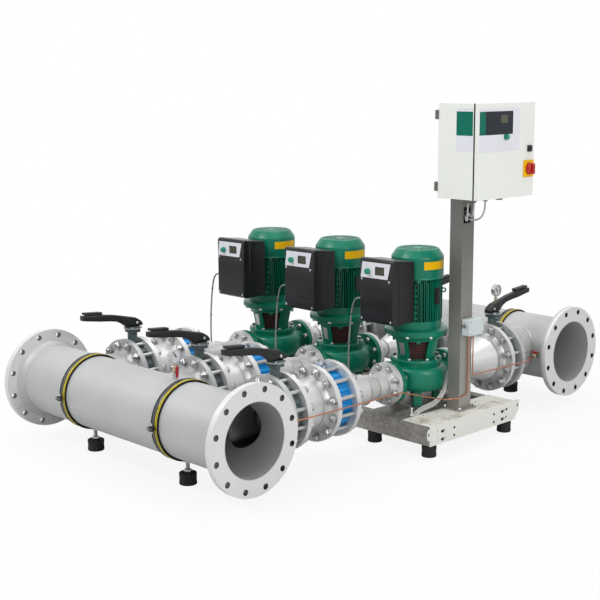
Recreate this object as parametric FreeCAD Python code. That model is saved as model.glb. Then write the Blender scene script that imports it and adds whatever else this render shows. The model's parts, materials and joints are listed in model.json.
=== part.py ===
import FreeCAD, Part
import math
import os
from FreeCAD import Vector as V

# Booster pump set: three vertical in-line pumps between two pipe headers,
# with butterfly valves, check valves, a base frame and a control cabinet on a post.
# Millimetres. X runs along the headers, Y from the discharge to the suction header,
# Z up from the floor. While it is laid out, X = 0 is the discharge header's right
# flange face and Y = 0 its axis; everything is moved to its own frame on writing.

# Layout
lane_pitch = 500.0
lane_right_x = -244.0
lane_count = 3
lanes_x = [lane_right_x - lane_pitch * (lane_count - 1 - i) for i in range(lane_count)]
pipe_axis_z = 276.0
suction_y = 2190.0
header_length = 1474.0
suction_shift_x = -12.0
seat_gap = 0.3
running = 0.05

# Headers, DN300 pipe with PN16 plate flanges
header_r = 161.95
header_wall = 7.1
header_flange_r = 230.0
header_flange_t = 28.0
header_pcd = 410.0
header_bolts = 12
header_hole_r = 13.0
socket_r = 12.0
socket_h = 24.0

# Lane pipework, DN200 with PN16 plate flanges
lane_pipe_r = 109.55
lane_wall = 6.3
lane_flange_r = 170.0
lane_flange_t = 24.0
lane_pcd = 295.0
stud_r = 10.0
branch_flange_back = 304.0
spool_length = 202.0
rear_valve_y = 1828.0

# Wafer butterfly valves
valve_width = 60.0
wafer_r = 136.0
valve_bore_r = 100.0
disc_t = 12.0
stem_r = 8.0
neck_side = 44.0
neck_top_z = 490.0
notch_plate_r = 37.0
notch_plate_t = 14.0
lever_w = 34.0
stem_grip = 30.0
lever_reach = 284.0
grip_t = 10.0
grip_l = 94.0
grip_gap = 4.0
grip_boss_r = 6.0

# Wafer check valves
check_width = 95.0
check_seat_t = 20.0
check_seat_r = 74.0
check_disc_r = 87.0
check_disc_t = 10.0
check_guide_l = 20.0
check_stem_r = 6.0
check_lift = 25.0
eye_ring_r = 22.0
eye_t = 9.0

# Reducing spool to the pump, and suction cone
port_flange_r = 100.0
port_flange_t = 20.0
port_gap = 2.0
reducer_big_r = 69.85
reducer_small_r = 57.15
reducer_taper = (200.0, 270.0)
port_bore_r = 41.0
tail_pipe_r = 44.45
tail_pipe_l = 98.0
cone_l = 180.0
cone_wall = 5.0

# Pumps
pump_y = 1240.0
port_to_port = 400.0
casing_flange_t = 23.0
casing_top_z = 360.0
chamber_r = 92.0
chamber_low_z = 246.0
chamber_top_z = 316.0
volute_z = 284.0
volute_w = 44.0
volute_h = 104.0
volute_offset = 9.0
cover_seat_r = 116.0
throat_r = 66.0
nozzle_r = 58.0
leg_r = 106.0
leg_w = 16.0
shaft_r = 14.0
impeller_r = 85.0
impeller_t = 40.0
coupling_r = 32.0
coupling_l = 52.0
fan_r = 92.0
fan_blades = 7
fan_blade_w = 34.0
lantern_top_z = 491.0
lantern_wall_r = 98.0
lantern_wall = 14.0
window_low_z = 372.0
window_top_z = 467.0
window_w = 86.0
motor_flange_r = 148.0
motor_flange_t = 29.0
motor_core_r = 94.0
fin_r = 118.0
fin_t = 3.5
fin_count = 24
box_gap_angle = 34.0
fin_low_z = 556.0
fin_top_z = 736.0
cover_r = 122.0
cover_wall = 3.0
cover_shoulder_z = 852.0
cover_top_r = 98.0
motor_top_z = 889.0

# Frequency converters on the motors
box_w = 200.0
box_front_y = 955.0
box_back_y = 1103.0
box_low_z = 562.0
box_top_z = 864.0
box_taper = 14.0
knob_r = 13.0
knob_l = 16.0
knob_side = 48.0
gland_r = 10.0
gland_l = 18.0
pump_cable_y = 985.0
pump_cable_z = 668.0
knob_z = 805.0

# Header clamps and feet
clamp_xs_discharge = (-423.0, -1089.0)
clamp_xs_suction = (-382.0, -1048.0)
lining_w = 38.0
lining_t = 5.0
strap_w = 30.0
strap_t = 3.0
ear_l = 26.0
rod_r = 8.0
header_foot_r = 38.0
foot_h = 50.0
stud_foot_r = 12.0

# Base frame
base_right_x = 80.0
base_overhang = 276.0
base_left_x = lanes_x[0] - base_overhang
base_front_y = 964.0
base_back_y = 1623.0
base_tail = 38.0
beam_low_z = 56.0
beam_top_z = 146.0
beam_flange = 50.0
beam_t = 4.0
machine_foot_r = 34.0
machine_foot_shift = -40.0
deck_w = 160.0
deck_t = 4.0
cradle_t = 12.0
cradle_w = 250.0
cradle_y = (1130.0, 1430.0)
cross_w = 120.0
cross_h = 50.0
grommet_h = 6.0
grommet_r = 9.0

# Post and control cabinet
post_x = (-62.0, 8.0)
post_y = (1254.0, 1338.0)
post_wall = 4.0
post_top_z = 1480.0
post_foot_t = 8.0
post_slot_high = (1262.0, 1312.0, 1018.0, 1092.0)
post_slot_low = (1274.0, 1314.0, 312.0, 424.0)
bracket_h = 40.0
cabinet_y = (1060.0, 1455.0)
cabinet_z = (1149.0, 1557.0)
cabinet_back_x = 20.0
cabinet_front_x = 217.0
cabinet_wall = 2.0
door_t = 22.0
door_gap = 0.6
hinge_inset = 3.0
hinge_pin_r = 2.5
hinge_pin_l = 30.0
switch_yz = (1414.0, 1268.0)
switch_r = 27.0
switch_l = 30.0
switch_plate = 74.0
switch_plate_t = 5.0
switch_bar_w = 14.0
switch_bar_l = 48.0
lock_yz = (1417.0, 1356.0)
lock_side = 28.0
lock_rosette_r = 12.0
door_knob_yz = (1244.0, 1412.0)

# Gauges, cocks and tubes
gauge_x = -494.0
gauge_r = 32.0
gauge_t = 26.0
gauge_z = 536.0
gauge_turn = 90.0
tube_r = 3.0
tube_bend = 25.0
cable_r = 4.0
cock_r = 12.0
cock_l = 44.0
handle_t = 4.0
handle_hub_r = 7.0
wing_hub_r = 9.0
gauge_cock_z = 486.0
drain_cock_x = -104.0
drain_cock_z = 268.0
tap_x = -60.0
tap_z = 287.0
tap_l = 22.0
cabinet_gland_x = 110.0
cabinet_gland_l = 26.0
cabinet_gland_r = 15.0
cabinet_glands_y = (1160.0, 1203.0, 1283.0, 1383.0)
junction_y = (1262.0, 1366.0)
junction_z = (505.0, 580.0)
junction_depth = 48.0

# Frame: the origin is the bottom centre of the whole set
x_low = suction_shift_x - header_length
door_face = cabinet_front_x + door_gap + door_t
x_high = door_face + switch_plate_t + switch_l
y_low = -header_flange_r
y_high = suction_y + header_flange_r
to_frame = V(-(x_low + x_high) / 2, -(y_low + y_high) / 2, 0)

X, Y, Z = V(1, 0, 0), V(0, 1, 0), V(0, 0, 1)


def cyl(r, h, base, axis=Z):
    return Part.makeCylinder(r, h, V(*base), axis)


def block(x0, x1, y0, y1, z0, z1):
    return Part.makeBox(x1 - x0, y1 - y0, z1 - z0, V(x0, y0, z0))


def join(first, *rest):
    return first.fuse(list(rest)).removeSplitter()


def turn_profile(points, centre, axis):
    """Revolves (radius, distance along axis) points about an axis through the centre."""
    side = X if abs(axis.x) < 0.5 else Y
    centre = V(*centre)
    ring = [centre + side * r + axis * s for r, s in points]
    face = Part.Face(Part.makePolygon(ring + ring[:1]))
    return face.revolve(centre, axis, 360)


def prism(points, plane, low, high):
    """Extrudes an outline given in the plane 'yz', 'xz' or 'xy' along the third axis."""
    place = {
        "yz": lambda a, b: V(low, a, b),
        "xz": lambda a, b: V(a, low, b),
        "xy": lambda a, b: V(a, b, low),
    }[plane]
    way = {"yz": X, "xz": Y, "xy": Z}[plane]
    corners = [place(a, b) for a, b in points]
    return Part.Face(Part.makePolygon(corners + corners[:1])).extrude(way * (high - low))


def around(x, y, shape, angle):
    copy = shape.copy()
    copy.rotate(V(x, y, 0), Z, angle)
    return copy


def route_tube(points, radius, name, bend=None):
    """Tube along straight runs joined by tangent arcs, as large as the runs allow or given.

    Its section is a hexagon of the round tube's area, which keeps its faces few."""
    pts = [V(*p) for p in points]
    edges = []
    start = pts[0]
    radii = []
    for before, corner, after in zip(pts, pts[1:], pts[2:]):
        into = (corner - before).normalize()
        out = (after - corner).normalize()
        half_turn = into.getAngle(out) / 2
        cut = 0.45 * min(before.distanceToPoint(corner), corner.distanceToPoint(after))
        if bend:
            cut = min(cut, bend * math.tan(half_turn))
        radii.append(cut / math.tan(half_turn))
        first = corner - into * cut
        last = corner + out * cut
        inward = (out - into).normalize()
        middle = corner + inward * (radii[-1] / math.cos(half_turn) - radii[-1])
        edges.append(Part.LineSegment(start, first).toShape())
        edges.append(Part.Arc(first, middle, last).toShape())
        start = last
    edges.append(Part.LineSegment(start, pts[-1]).toShape())
    path = Part.Wire(edges)
    ahead = (pts[1] - pts[0]).normalize()
    side = ahead.cross(X if abs(ahead.x) < 0.5 else Y).normalize()
    other = ahead.cross(side)
    sides = 6
    reach = radius * math.sqrt(2 * math.pi / sides / math.sin(2 * math.pi / sides))
    angles = [2 * math.pi * k / sides for k in range(sides + 1)]
    ring = [pts[0] + side * (reach * math.cos(a)) + other * (reach * math.sin(a)) for a in angles]
    tube = path.makePipeShell([Part.makePolygon(ring)], True, False)
    share = tube.Volume / (math.pi * radius ** 2 * path.Length)
    print(name, "radii", [round(r) for r in radii], "length", round(path.Length), "volume", round(share, 3))
    return tube


def export(name, *solids):
    shape = solids[0] if len(solids) == 1 else Part.makeCompound(list(solids))
    shape = shape.copy()
    shape.translate(to_frame)
    shape.exportStep("parts/" + name + ".step")
    if not shape.isValid():
        print("not valid:", name)


# Stations along a lane, from the discharge header to the suction header
half_port = port_to_port / 2
valve_front = branch_flange_back
valve_mid = valve_front + valve_width / 2
spool_front = valve_front + valve_width
check_front = spool_front + spool_length
check_back = check_front + check_width
port_front = pump_y - half_port
reducer_end = port_front - port_gap
port_back = pump_y + half_port
cone_start = port_back + port_gap
cone_foot = cone_start + port_flange_t + tail_pipe_l
cone_head = cone_foot + cone_l
rear_mid = rear_valve_y
cone_end = rear_mid - valve_width / 2
rear_branch = rear_mid + valve_width / 2
stud_circle_r = lane_pcd / 2
lever_base_z = neck_top_z + notch_plate_t + seat_gap
stem_low_z = pipe_axis_z - wafer_r + 6
channel_back_y = base_back_y - base_tail


# Headers
def header(right_x, axis_y, branch_face_y, toward):
    """Bored pipe with a gauge socket, drilled end flanges and a set-on flanged branch per lane."""
    left_x = right_x - header_length
    way = Y * toward
    reach = abs(branch_face_y - axis_y)
    inner_r = lane_pipe_r - lane_wall
    core = cyl(header_r, header_length, (left_x, axis_y, pipe_axis_z), X)
    socket = cyl(socket_r, socket_h + 6, (gauge_x, axis_y, pipe_axis_z + header_r - 6))
    bores = [cyl(header_r - header_wall, header_length + 2, (left_x - 1, axis_y, pipe_axis_z), X)]
    bores += [cyl(inner_r, reach, (x, axis_y, pipe_axis_z), way) for x in lanes_x]
    solids = [join(core, socket).cut(bores)]
    for x in (left_x, right_x - header_flange_t):
        holes = [core]
        for k in range(header_bolts):
            angle = math.radians((k + 0.5) * 360 / header_bolts)
            y = axis_y + header_pcd / 2 * math.sin(angle)
            z = pipe_axis_z + header_pcd / 2 * math.cos(angle)
            holes.append(cyl(header_hole_r, header_flange_t + 2, (x - 1, y, z), X))
        solids.append(cyl(header_flange_r, header_flange_t, (x, axis_y, pipe_axis_z), X).cut(holes))
    for x in lanes_x:
        branch = cyl(lane_pipe_r, reach, (x, axis_y, pipe_axis_z), way)
        solids.append(branch.cut([core, cyl(inner_r, reach + 1, (x, axis_y, pipe_axis_z), way)]))
        plate = cyl(lane_flange_r, lane_flange_t, (x, branch_face_y, pipe_axis_z), way * -1)
        solids.append(plate.cut(branch))
    return solids


# Butterfly valves
def regular(count, r, cx, cy, turn=0.0):
    """Corners of a regular outline round a centre."""
    angles = [math.radians(turn + 360 * k / count) for k in range(count)]
    return [(cx + r * math.cos(a), cy + r * math.sin(a)) for a in angles]


def valve_body(x, y):
    """Wafer ring with the stem neck on top and a blind lower bearing for the stem."""
    ring = cyl(wafer_r, valve_width, (x, y - valve_width / 2, pipe_axis_z), Y)
    outline = regular(8, neck_side / 2 / math.cos(math.pi / 8), x, y, 22.5)
    neck = prism(outline, "xy", pipe_axis_z + valve_bore_r + 10, neck_top_z)
    body = join(ring, neck)
    bore = cyl(valve_bore_r, valve_width + 2, (x, y - valve_width / 2 - 1, pipe_axis_z), Y)
    stem_hole = cyl(stem_r + running, neck_top_z - stem_low_z + 1, (x, y, stem_low_z))
    return body.cut([bore, stem_hole])


def notch_plate(x, y):
    """Index plate between neck and lever, with a clearance hole for the stem."""
    plate = prism(regular(16, notch_plate_r, x, y), "xy", neck_top_z, neck_top_z + notch_plate_t)
    return plate.cut(cyl(stem_r + 1, notch_plate_t + 2, (x, y, neck_top_z - 1)))


def lever_arm(x, y, toward):
    """Hand lever: a hub and a raised arm; it points to +Y when toward is 1."""
    z = lever_base_z
    s = lever_reach
    outline = [(-38, z), (-38, z + 14), (-22, z + 42), (20, z + 46), (60, z + 58), (110, z + 70)]
    outline += [(168, z + 78), (s, z + 88), (s, z + 64), (190, z + 52), (140, z + 43), (95, z + 35)]
    outline += [(70, z + 24), (52, z + 10), (38, z)]
    half = lever_w / 2
    arm = prism([(y + toward * a, b) for a, b in outline], "yz", x - half, x + half)
    return arm.cut(cyl(stem_r + running, stem_grip + 1, (x, y, z - 1)))


def grip_line(s):
    """Height of the arm's top edge at a distance s from the stem, over its outer straight."""
    return lever_base_z + 78 + 10 * (s - 168) / (lever_reach - 168)


grip_pivot = (lever_reach - 12 - grip_l + grip_boss_r,
              grip_line(lever_reach - 12 - grip_l + grip_boss_r) + grip_boss_r + seat_gap)


def grip(x, y, toward):
    """Squeeze grip over the arm's end; the boss at its inner end turns on the arm's top edge."""
    outer = lever_reach - 12
    inner = outer - grip_l
    low_in = grip_line(inner) + grip_gap
    low_out = grip_line(outer) + grip_gap
    outline = [(inner, low_in), (outer, low_out), (outer, low_out + grip_t), (inner, low_in + grip_t)]
    half = lever_w / 2 - 3
    pad = prism([(y + toward * a, b) for a, b in outline], "yz", x - half, x + half)
    boss = cyl(grip_boss_r, 2 * half, (x - half, y + toward * grip_pivot[0], grip_pivot[1]), X)
    return join(pad, boss)


def disc_with_stem(x, y):
    """Open butterfly disc in the lane's vertical plane, on its through stem."""
    z = pipe_axis_z
    plate = cyl(valve_bore_r - seat_gap, disc_t, (x - disc_t / 2, y, z), X)
    low = stem_low_z + seat_gap
    stem = cyl(stem_r, lever_base_z + stem_grip - seat_gap - low, (x, y, low))
    return join(plate, stem)


# Check valves
def check_body(x):
    """Wafer ring with the seat at the pump side, the stem guide and the lifting eye."""
    y0 = check_front
    depth = check_width - check_seat_t
    wall = [(valve_bore_r, 0), (wafer_r, 0), (wafer_r, check_width), (check_seat_r, check_width)]
    wall += [(check_seat_r, depth), (valve_bore_r, depth)]
    ring = turn_profile(wall, (x, y0, pipe_axis_z), Y)
    arm = block(x - 12, x + 12, y0, y0 + check_guide_l, pipe_axis_z - 104, pipe_axis_z + 104)
    arm = arm.cut(cyl(check_stem_r + running, check_guide_l + 2, (x, y0 - 1, pipe_axis_z), Y))
    eye_z = pipe_axis_z + wafer_r + eye_ring_r - 3
    mid_y = y0 + check_width / 2
    eye = cyl(eye_ring_r, eye_t, (x - eye_t / 2, mid_y, eye_z), X)
    body = join(ring, arm, eye)
    return body.cut(cyl(eye_ring_r - eye_t, eye_t + 2, (x - eye_t / 2 - 1, mid_y, eye_z), X))


def check_disc(x):
    back_y = check_back - check_seat_t - seat_gap
    plate = cyl(check_disc_r, check_disc_t, (x, back_y - check_disc_t, pipe_axis_z), Y)
    stem = cyl(check_stem_r, back_y - check_front - 2, (x, check_front + 2, pipe_axis_z), Y)
    return join(plate, stem)


# Flanged pipes of a lane
def spool(x):
    """Short DN200 pipe with two plate flanges, between butterfly and check valve."""
    inner = lane_pipe_r - lane_wall
    t = lane_flange_t
    length = spool_length
    shape = [(inner, 0), (lane_flange_r, 0), (lane_flange_r, t), (lane_pipe_r, t)]
    shape += [(lane_pipe_r, length - t), (lane_flange_r, length - t), (lane_flange_r, length)]
    shape += [(inner, length)]
    return turn_profile(shape, (x, spool_front, pipe_axis_z), Y)


def reducer(x):
    """Spool from the check valve to the pump: large flange, stepped pipe, small flange."""
    t = lane_flange_t
    length = reducer_end - check_back
    small = length - port_flange_t
    outer = [(port_bore_r, 0), (lane_flange_r, 0), (lane_flange_r, t), (reducer_big_r, t)]
    outer += [(reducer_big_r, reducer_taper[0]), (reducer_small_r, reducer_taper[1]), (reducer_small_r, small)]
    outer += [(port_flange_r, small), (port_flange_r, length), (port_bore_r, length)]
    return turn_profile(outer, (x, check_back, pipe_axis_z), Y)


def suction_cone(x):
    """Small flange, short pipe and a long hollow cone with the large flange at its head."""
    tail = cone_foot - cone_start
    head = cone_head - cone_start
    end = cone_end - cone_start
    inner = lane_pipe_r - lane_wall
    tail_inner = tail_pipe_r - cone_wall
    shape = [(tail_inner, 0), (port_flange_r, 0), (port_flange_r, port_flange_t)]
    shape += [(tail_pipe_r, port_flange_t), (tail_pipe_r, tail), (lane_pipe_r, head)]
    shape += [(lane_pipe_r, end - lane_flange_t), (lane_flange_r, end - lane_flange_t)]
    shape += [(lane_flange_r, end), (inner, end), (inner, head), (tail_inner, tail)]
    return turn_profile(shape, (x, cone_start, pipe_axis_z), Y)


def stud_ring(x, y0, y1):
    """Hexagonal tie studs at the diagonals of the bolt circle, between two flanges."""
    studs = []
    for k in range(4):
        angle = math.radians(45 + 90 * k)
        cx = x + stud_circle_r * math.cos(angle)
        cz = pipe_axis_z + stud_circle_r * math.sin(angle)
        corners = [(cx + stud_r * math.cos(math.pi / 3 * i), cz + stud_r * math.sin(math.pi / 3 * i))
                   for i in range(6)]
        studs.append(prism(corners, "xz", y0, y1))
    return studs


# Pumps
def pump_casing(x):
    """In-line casing: an off-centre volute round the impeller chamber, two ports, four legs."""
    y, low, top = pump_y, chamber_low_z, casing_top_z
    wall = [(0, low - 32), (62, low - 32), (cover_seat_r, low), (cover_seat_r, top), (throat_r, top)]
    wall += [(throat_r, chamber_top_z), (chamber_r, chamber_top_z), (chamber_r, low), (0, low)]
    body = turn_profile(wall, (x, y, 0), Z)
    r0, r1 = chamber_r + 8, chamber_r + volute_w
    half = volute_h / 2
    bulge = [(r0, -half), (r1 - 16, -half), (r1, -half + 22), (r1, half - 22), (r1 - 16, half)]
    bulge += [(r0, half)]
    volute = turn_profile(bulge, (x + volute_offset, y, volute_z), Z)
    volute = volute.cut(cyl(chamber_r + 4, 2 * volute_h, (x, y, volute_z - volute_h)))
    ports = []
    for way in (-1, 1):
        shape = [(0, 98), (nozzle_r, 98), (nozzle_r, half_port - casing_flange_t)]
        shape += [(port_flange_r, half_port - casing_flange_t), (port_flange_r, half_port), (0, half_port)]
        ports.append(turn_profile(shape, (x, y, pipe_axis_z), Y * way))
    legs = []
    foot_z = beam_top_z + cradle_t
    for k in range(4):
        leg = prism([(x + leg_r - 30, foot_z), (x + leg_r + 14, foot_z), (x + leg_r + 14, foot_z + 9),
                     (x + leg_r + 5, foot_z + 12), (x + leg_r, low), (x + leg_r - 30, low)],
                    "xz", y - leg_w / 2, y + leg_w / 2)
        legs.append(around(x, y, leg, 45 + 90 * k))
    body = join(body, volute, *ports, *legs)
    return body.cut(cyl(port_bore_r, port_to_port + 2, (x, port_front - 1, pipe_axis_z), Y))


def lantern(x):
    """Bell between casing and motor with four windows and the seal plate at its foot."""
    low, top = casing_top_z, lantern_top_z
    r = lantern_wall_r
    inner = r - lantern_wall
    shape = [(shaft_r + running, low), (cover_seat_r, low), (cover_seat_r, low + 12)]
    shape += [(r, low + 12), (r, top - 28), (motor_flange_r - 10, top), (inner, top)]
    shape += [(inner, low + 10), (shaft_r + running, low + 10)]
    bell = turn_profile(shape, (x, pump_y, 0), Z)
    windows = []
    for k in range(4):
        cut = block(x + inner / 2, x + 200, pump_y - window_w / 2, pump_y + window_w / 2,
                    window_low_z, window_top_z)
        windows.append(around(x, pump_y, cut, 45 + 90 * k))
    return bell.cut(windows)


def coupling_guards(x):
    """Flat mesh guard behind each lantern window."""
    guards = []
    half = window_w / 2 + 4
    reach = math.sqrt((lantern_wall_r - lantern_wall) ** 2 - half ** 2) - seat_gap
    for k in range(4):
        guard = block(x + reach - 1.5, x + reach, pump_y - half, pump_y + half,
                      casing_top_z + 10 + seat_gap, window_top_z + 5)
        guards.append(around(x, pump_y, guard, 45 + 90 * k))
    return guards


def motor_housing(x):
    """End shield with the flange below, and the finned stator frame with the fan cover's lugs."""
    low = lantern_top_z
    bore = shaft_r + running
    shield = [(bore, low), (motor_flange_r, low), (motor_flange_r, low + motor_flange_t - 8)]
    shield += [(fin_r, low + motor_flange_t), (fin_r, fin_low_z), (bore, fin_low_z)]
    core = [(bore, fin_low_z), (motor_core_r, fin_low_z), (motor_core_r, fin_top_z + 20), (bore, fin_top_z + 20)]
    fins = []
    for k in range(fin_count):
        angle = (k + 0.5) * 360 / fin_count
        if abs(angle - 270) < box_gap_angle:
            continue
        fin = block(x + motor_core_r - 2, x + fin_r, pump_y - fin_t / 2, pump_y + fin_t / 2,
                    fin_low_z, fin_top_z)
        fins.append(around(x, pump_y, fin, angle))
    lugs = []
    for k in range(4):
        lug = block(x + motor_core_r - 4, x + cover_r - cover_wall - seat_gap, pump_y - 8,
                    pump_y + 8, fin_top_z + 4, fin_top_z + 18)
        lugs.append(around(x, pump_y, lug, 45 + 90 * k))
    centre = (x, pump_y, 0)
    return [turn_profile(shield, centre, Z), join(turn_profile(core, centre, Z), *fins, *lugs)]


def fan_cover(x):
    """Fan cover: straight skirt, sloped shoulder and a flat top."""
    w = cover_wall
    top, low = motor_top_z, fin_top_z + 1
    shell = [(0, top), (cover_top_r, top), (cover_r, cover_shoulder_z), (cover_r, low), (cover_r - w, low)]
    shell += [(cover_r - w, cover_shoulder_z - w), (0, cover_shoulder_z - w)]
    return turn_profile(shell, (x, pump_y, 0), Z)


def rotor(x):
    """Shaft with coupling, closed impeller below and cooling fan above, one body."""
    mid = (chamber_low_z + chamber_top_z) / 2
    low = mid - impeller_t / 2
    fan_z = fin_top_z + 50
    couple_z = casing_top_z + 34
    shape = [(0, low), (impeller_r, low), (impeller_r, low + impeller_t), (shaft_r, low + impeller_t)]
    shape += [(shaft_r, fan_z + fan_blade_w + 2), (0, fan_z + fan_blade_w + 2)]
    shaft = turn_profile(shape, (x, pump_y, 0), Z)
    coupling = prism(regular(12, coupling_r, x, pump_y), "xy", couple_z, couple_z + coupling_l)
    blades = []
    for k in range(fan_blades):
        blade = block(x + shaft_r - 4, x + fan_r, pump_y - 1.5, pump_y + 1.5, fan_z, fan_z + fan_blade_w)
        blades.append(around(x, pump_y, blade, k * 360 / fan_blades))
    return join(shaft, coupling, *blades)


def converter(x):
    """Converter housing with a sloped top and its bracket to the motor."""
    c = 12.0
    f, b = box_front_y, box_back_y
    low, top = box_low_z, box_top_z
    side = [(f, low + c), (f + c / 3, low + 3), (b, low + 6), (b, top - box_taper), (f + c, top)]
    side += [(f, top - c)]
    shell = prism(side, "yz", x - box_w / 2, x + box_w / 2)
    foot = block(x - 42, x + 42, b - 1, pump_y - 60, low + 66, low + 162)
    foot = foot.cut(cyl(motor_core_r + seat_gap, 400, (x, pump_y, low)))
    gland = prism(regular(6, gland_r, pump_cable_y, pump_cable_z), "yz", x - box_w / 2 - gland_l, x - box_w / 2)
    return join(shell, foot, gland)


# Supports of the headers
def clamp_set(x, y):
    """Lining, two strap halves with ears, and the rod down to the rubber foot."""
    z = pipe_axis_z
    r0 = header_r + seat_gap
    r1 = r0 + lining_t
    r2 = r1 + strap_t
    lining = cyl(r1, lining_w, (x - lining_w / 2, y, z), X)
    lining = lining.cut(cyl(r0, lining_w + 2, (x - lining_w / 2 - 1, y, z), X))
    band = cyl(r2, strap_w, (x - strap_w / 2, y, z), X)
    band = band.cut(cyl(r1, strap_w + 2, (x - strap_w / 2 - 1, y, z), X))
    halves = []
    for way in (1, -1):
        room = block(x - 60, x + 60, y - 260, y + 260, z + 3 if way > 0 else z - 260,
                     z + 260 if way > 0 else z - 3)
        half = band.common(room)
        ears = []
        for side in (1, -1):
            a = y + side * (r2 - 2)
            b = y + side * (r2 + ear_l)
            low = z + 3 if way > 0 else z - 3 - strap_t
            ears.append(block(x - strap_w / 2, x + strap_w / 2, min(a, b), max(a, b), low, low + strap_t))
        halves.append(join(half, *ears))
    bolts = []
    for side in (1, -1):
        by = y + side * (r2 + ear_l / 2 + 2)
        bolts.append(prism(regular(6, 8, x, by), "xy", z + 3 + strap_t, z + 11 + strap_t))
        bolts.append(prism(regular(6, 8, x, by), "xy", z - 11 - strap_t, z - 3 - strap_t))
    rod = cyl(rod_r, z - r2 - foot_h, (x, y, foot_h))
    nut = prism(regular(6, 14, x, y), "xy", foot_h, foot_h + 13)
    foot = cyl(header_foot_r, foot_h, (x, y, 0))
    return lining, halves + bolts, join(rod, nut), foot


# Base frame
def channel_x(front_y, way):
    """Channel along X with its back outside; way is +1 when it opens toward +Y."""
    x0, x1 = base_left_x + beam_t, base_right_x - beam_t
    back = [(0, 0), (beam_flange, 0), (beam_flange, beam_t), (beam_t, beam_t)]
    h = beam_top_z - beam_low_z
    back += [(beam_t, h - beam_t), (beam_flange, h - beam_t), (beam_flange, h), (0, h)]
    points = [(front_y + way * a, beam_low_z + b) for a, b in back]
    return prism(points, "yz", x0, x1)


def cross_member(x):
    """Inverted U between the two channels, under a pump's slab."""
    half, t = cross_w / 2, beam_t
    low, top = beam_top_z - cross_h, beam_top_z
    outline = [(x - half, low), (x - half + t, low), (x - half + t, top - t), (x + half - t, top - t)]
    outline += [(x + half - t, low), (x + half, low), (x + half, top), (x - half, top)]
    return prism(outline, "xz", base_front_y + beam_flange, channel_back_y - beam_flange)


def end_profile(x, way):
    """End profile along Y with a sloped tail; way is -1 when it opens toward -X."""
    y0, y1 = base_front_y, base_back_y
    low, top = beam_low_z, beam_top_z
    plate = prism([(y0, low), (y1 - base_tail, low), (y1, top - base_tail), (y1, top), (y0, top)], "yz",
                  min(x, x + way * beam_t), max(x, x + way * beam_t))
    holes = []
    for y in (y0 + 48, y1 - 102):
        for z in (low + 26, top - 26):
            holes.append(cyl(6, beam_t + 4, (min(x, x + way * beam_t) - 2, y, z), X))
    return plate.cut(holes)


# Post and cabinet
def control_post():
    """Hollow post on its foot plate, slotted for the leads, with two rails for the cabinet."""
    deck_top = beam_top_z + deck_t
    foot_top = deck_top + post_foot_t
    w = post_wall
    (x0, x1), (y0, y1) = post_x, post_y
    post = block(x0, x1, y0, y1, foot_top, post_top_z)
    foot = block(x0 - 20, x1 + 16, y0 - 16, y1 + 22, deck_top, foot_top)
    hollow = block(x0 + w, x1 - w, y0 + w, y1 - w, deck_top, post_top_z + 1)
    slots = [block(x1 - 10, x1 + 1, *post_slot_high), block(x0 - 1, x0 + 10, *post_slot_low)]
    rails = []
    for z in (cabinet_z[0] + 50, cabinet_z[1] - 50):
        rails.append(block(x1, cabinet_back_x, cabinet_y[0] - 8, cabinet_y[1] - 20,
                           z - bracket_h / 2, z + bracket_h / 2))
    return [join(post, foot).cut([hollow, *slots]), *rails]


def cabinet_housing():
    y0, y1 = cabinet_y
    z0, z1 = cabinet_z
    x0, x1 = cabinet_back_x, cabinet_front_x
    w = cabinet_wall
    shell = block(x0, x1, y0, y1, z0, z1)
    shell = shell.cut(block(x0 + w, x1 + 1, y0 + w, y1 - w, z0 + w, z1 - w))
    return shell


def cabinet_door():
    y0, y1 = cabinet_y
    z0, z1 = cabinet_z
    w = cabinet_wall
    x0 = cabinet_front_x + door_gap
    x1 = door_face
    door = block(x0, x1, y0, y1, z0, z1)
    door = door.cut(block(x0 - 1, x1 - w, y0 + w, y1 - w, z0 + w, z1 - w))
    sy, sz = switch_yz
    half = switch_plate / 2
    plate = block(x1 - w, x1 + switch_plate_t, sy - half, sy + half, sz - half, sz + half)
    pins = []
    for z in (z0 + hinge_pin_l, z1 - 2 * hinge_pin_l):
        pins.append(cyl(hinge_pin_r, hinge_pin_l, (x1 - hinge_inset, y0 + hinge_inset, z)))
    return join(door, plate, *pins)


def main_switch():
    """Round rotary handle with a bar across it, turning on the door's switch plate."""
    y, z = switch_yz
    face = door_face + switch_plate_t
    hub = cyl(switch_r, switch_l - 12 - seat_gap, (face + seat_gap, y, z), X)
    w, h = switch_bar_w / 2, switch_bar_l / 2
    return join(hub, block(face + switch_l - 20, face + switch_l, y - w, y + w, z - h, z + h))


def door_lock():
    """Square lock knob on a round rosette."""
    y, z = lock_yz
    half = lock_side / 2
    rosette = cyl(lock_rosette_r, 4, (door_face + seat_gap, y, z), X)
    return join(rosette, block(door_face + 3, door_face + 10, y - half, y + half, z - half, z + half))


# Gauges
def gauge(axis_y):
    """Case on its stem; the dial faces the cabinet's end of the set."""
    z0 = pipe_axis_z + header_r + socket_h + seat_gap
    x, y = gauge_x, axis_y
    stem = cyl(7, gauge_z - gauge_r + 3 - z0, (x, y, z0))
    nut = prism(regular(6, cock_r, x, y), "xy", z0 + 8, z0 + 34)
    half = gauge_t / 2
    case = [(0, -half), (gauge_r, -half), (gauge_r, half), (gauge_r - 3, half), (gauge_r - 3, half - 8)]
    case += [(0, half - 8)]
    case = turn_profile(case, (x, y, gauge_z), Y * -1)
    case = around(x, y, case, gauge_turn)
    return join(stem, nut, case)


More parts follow.
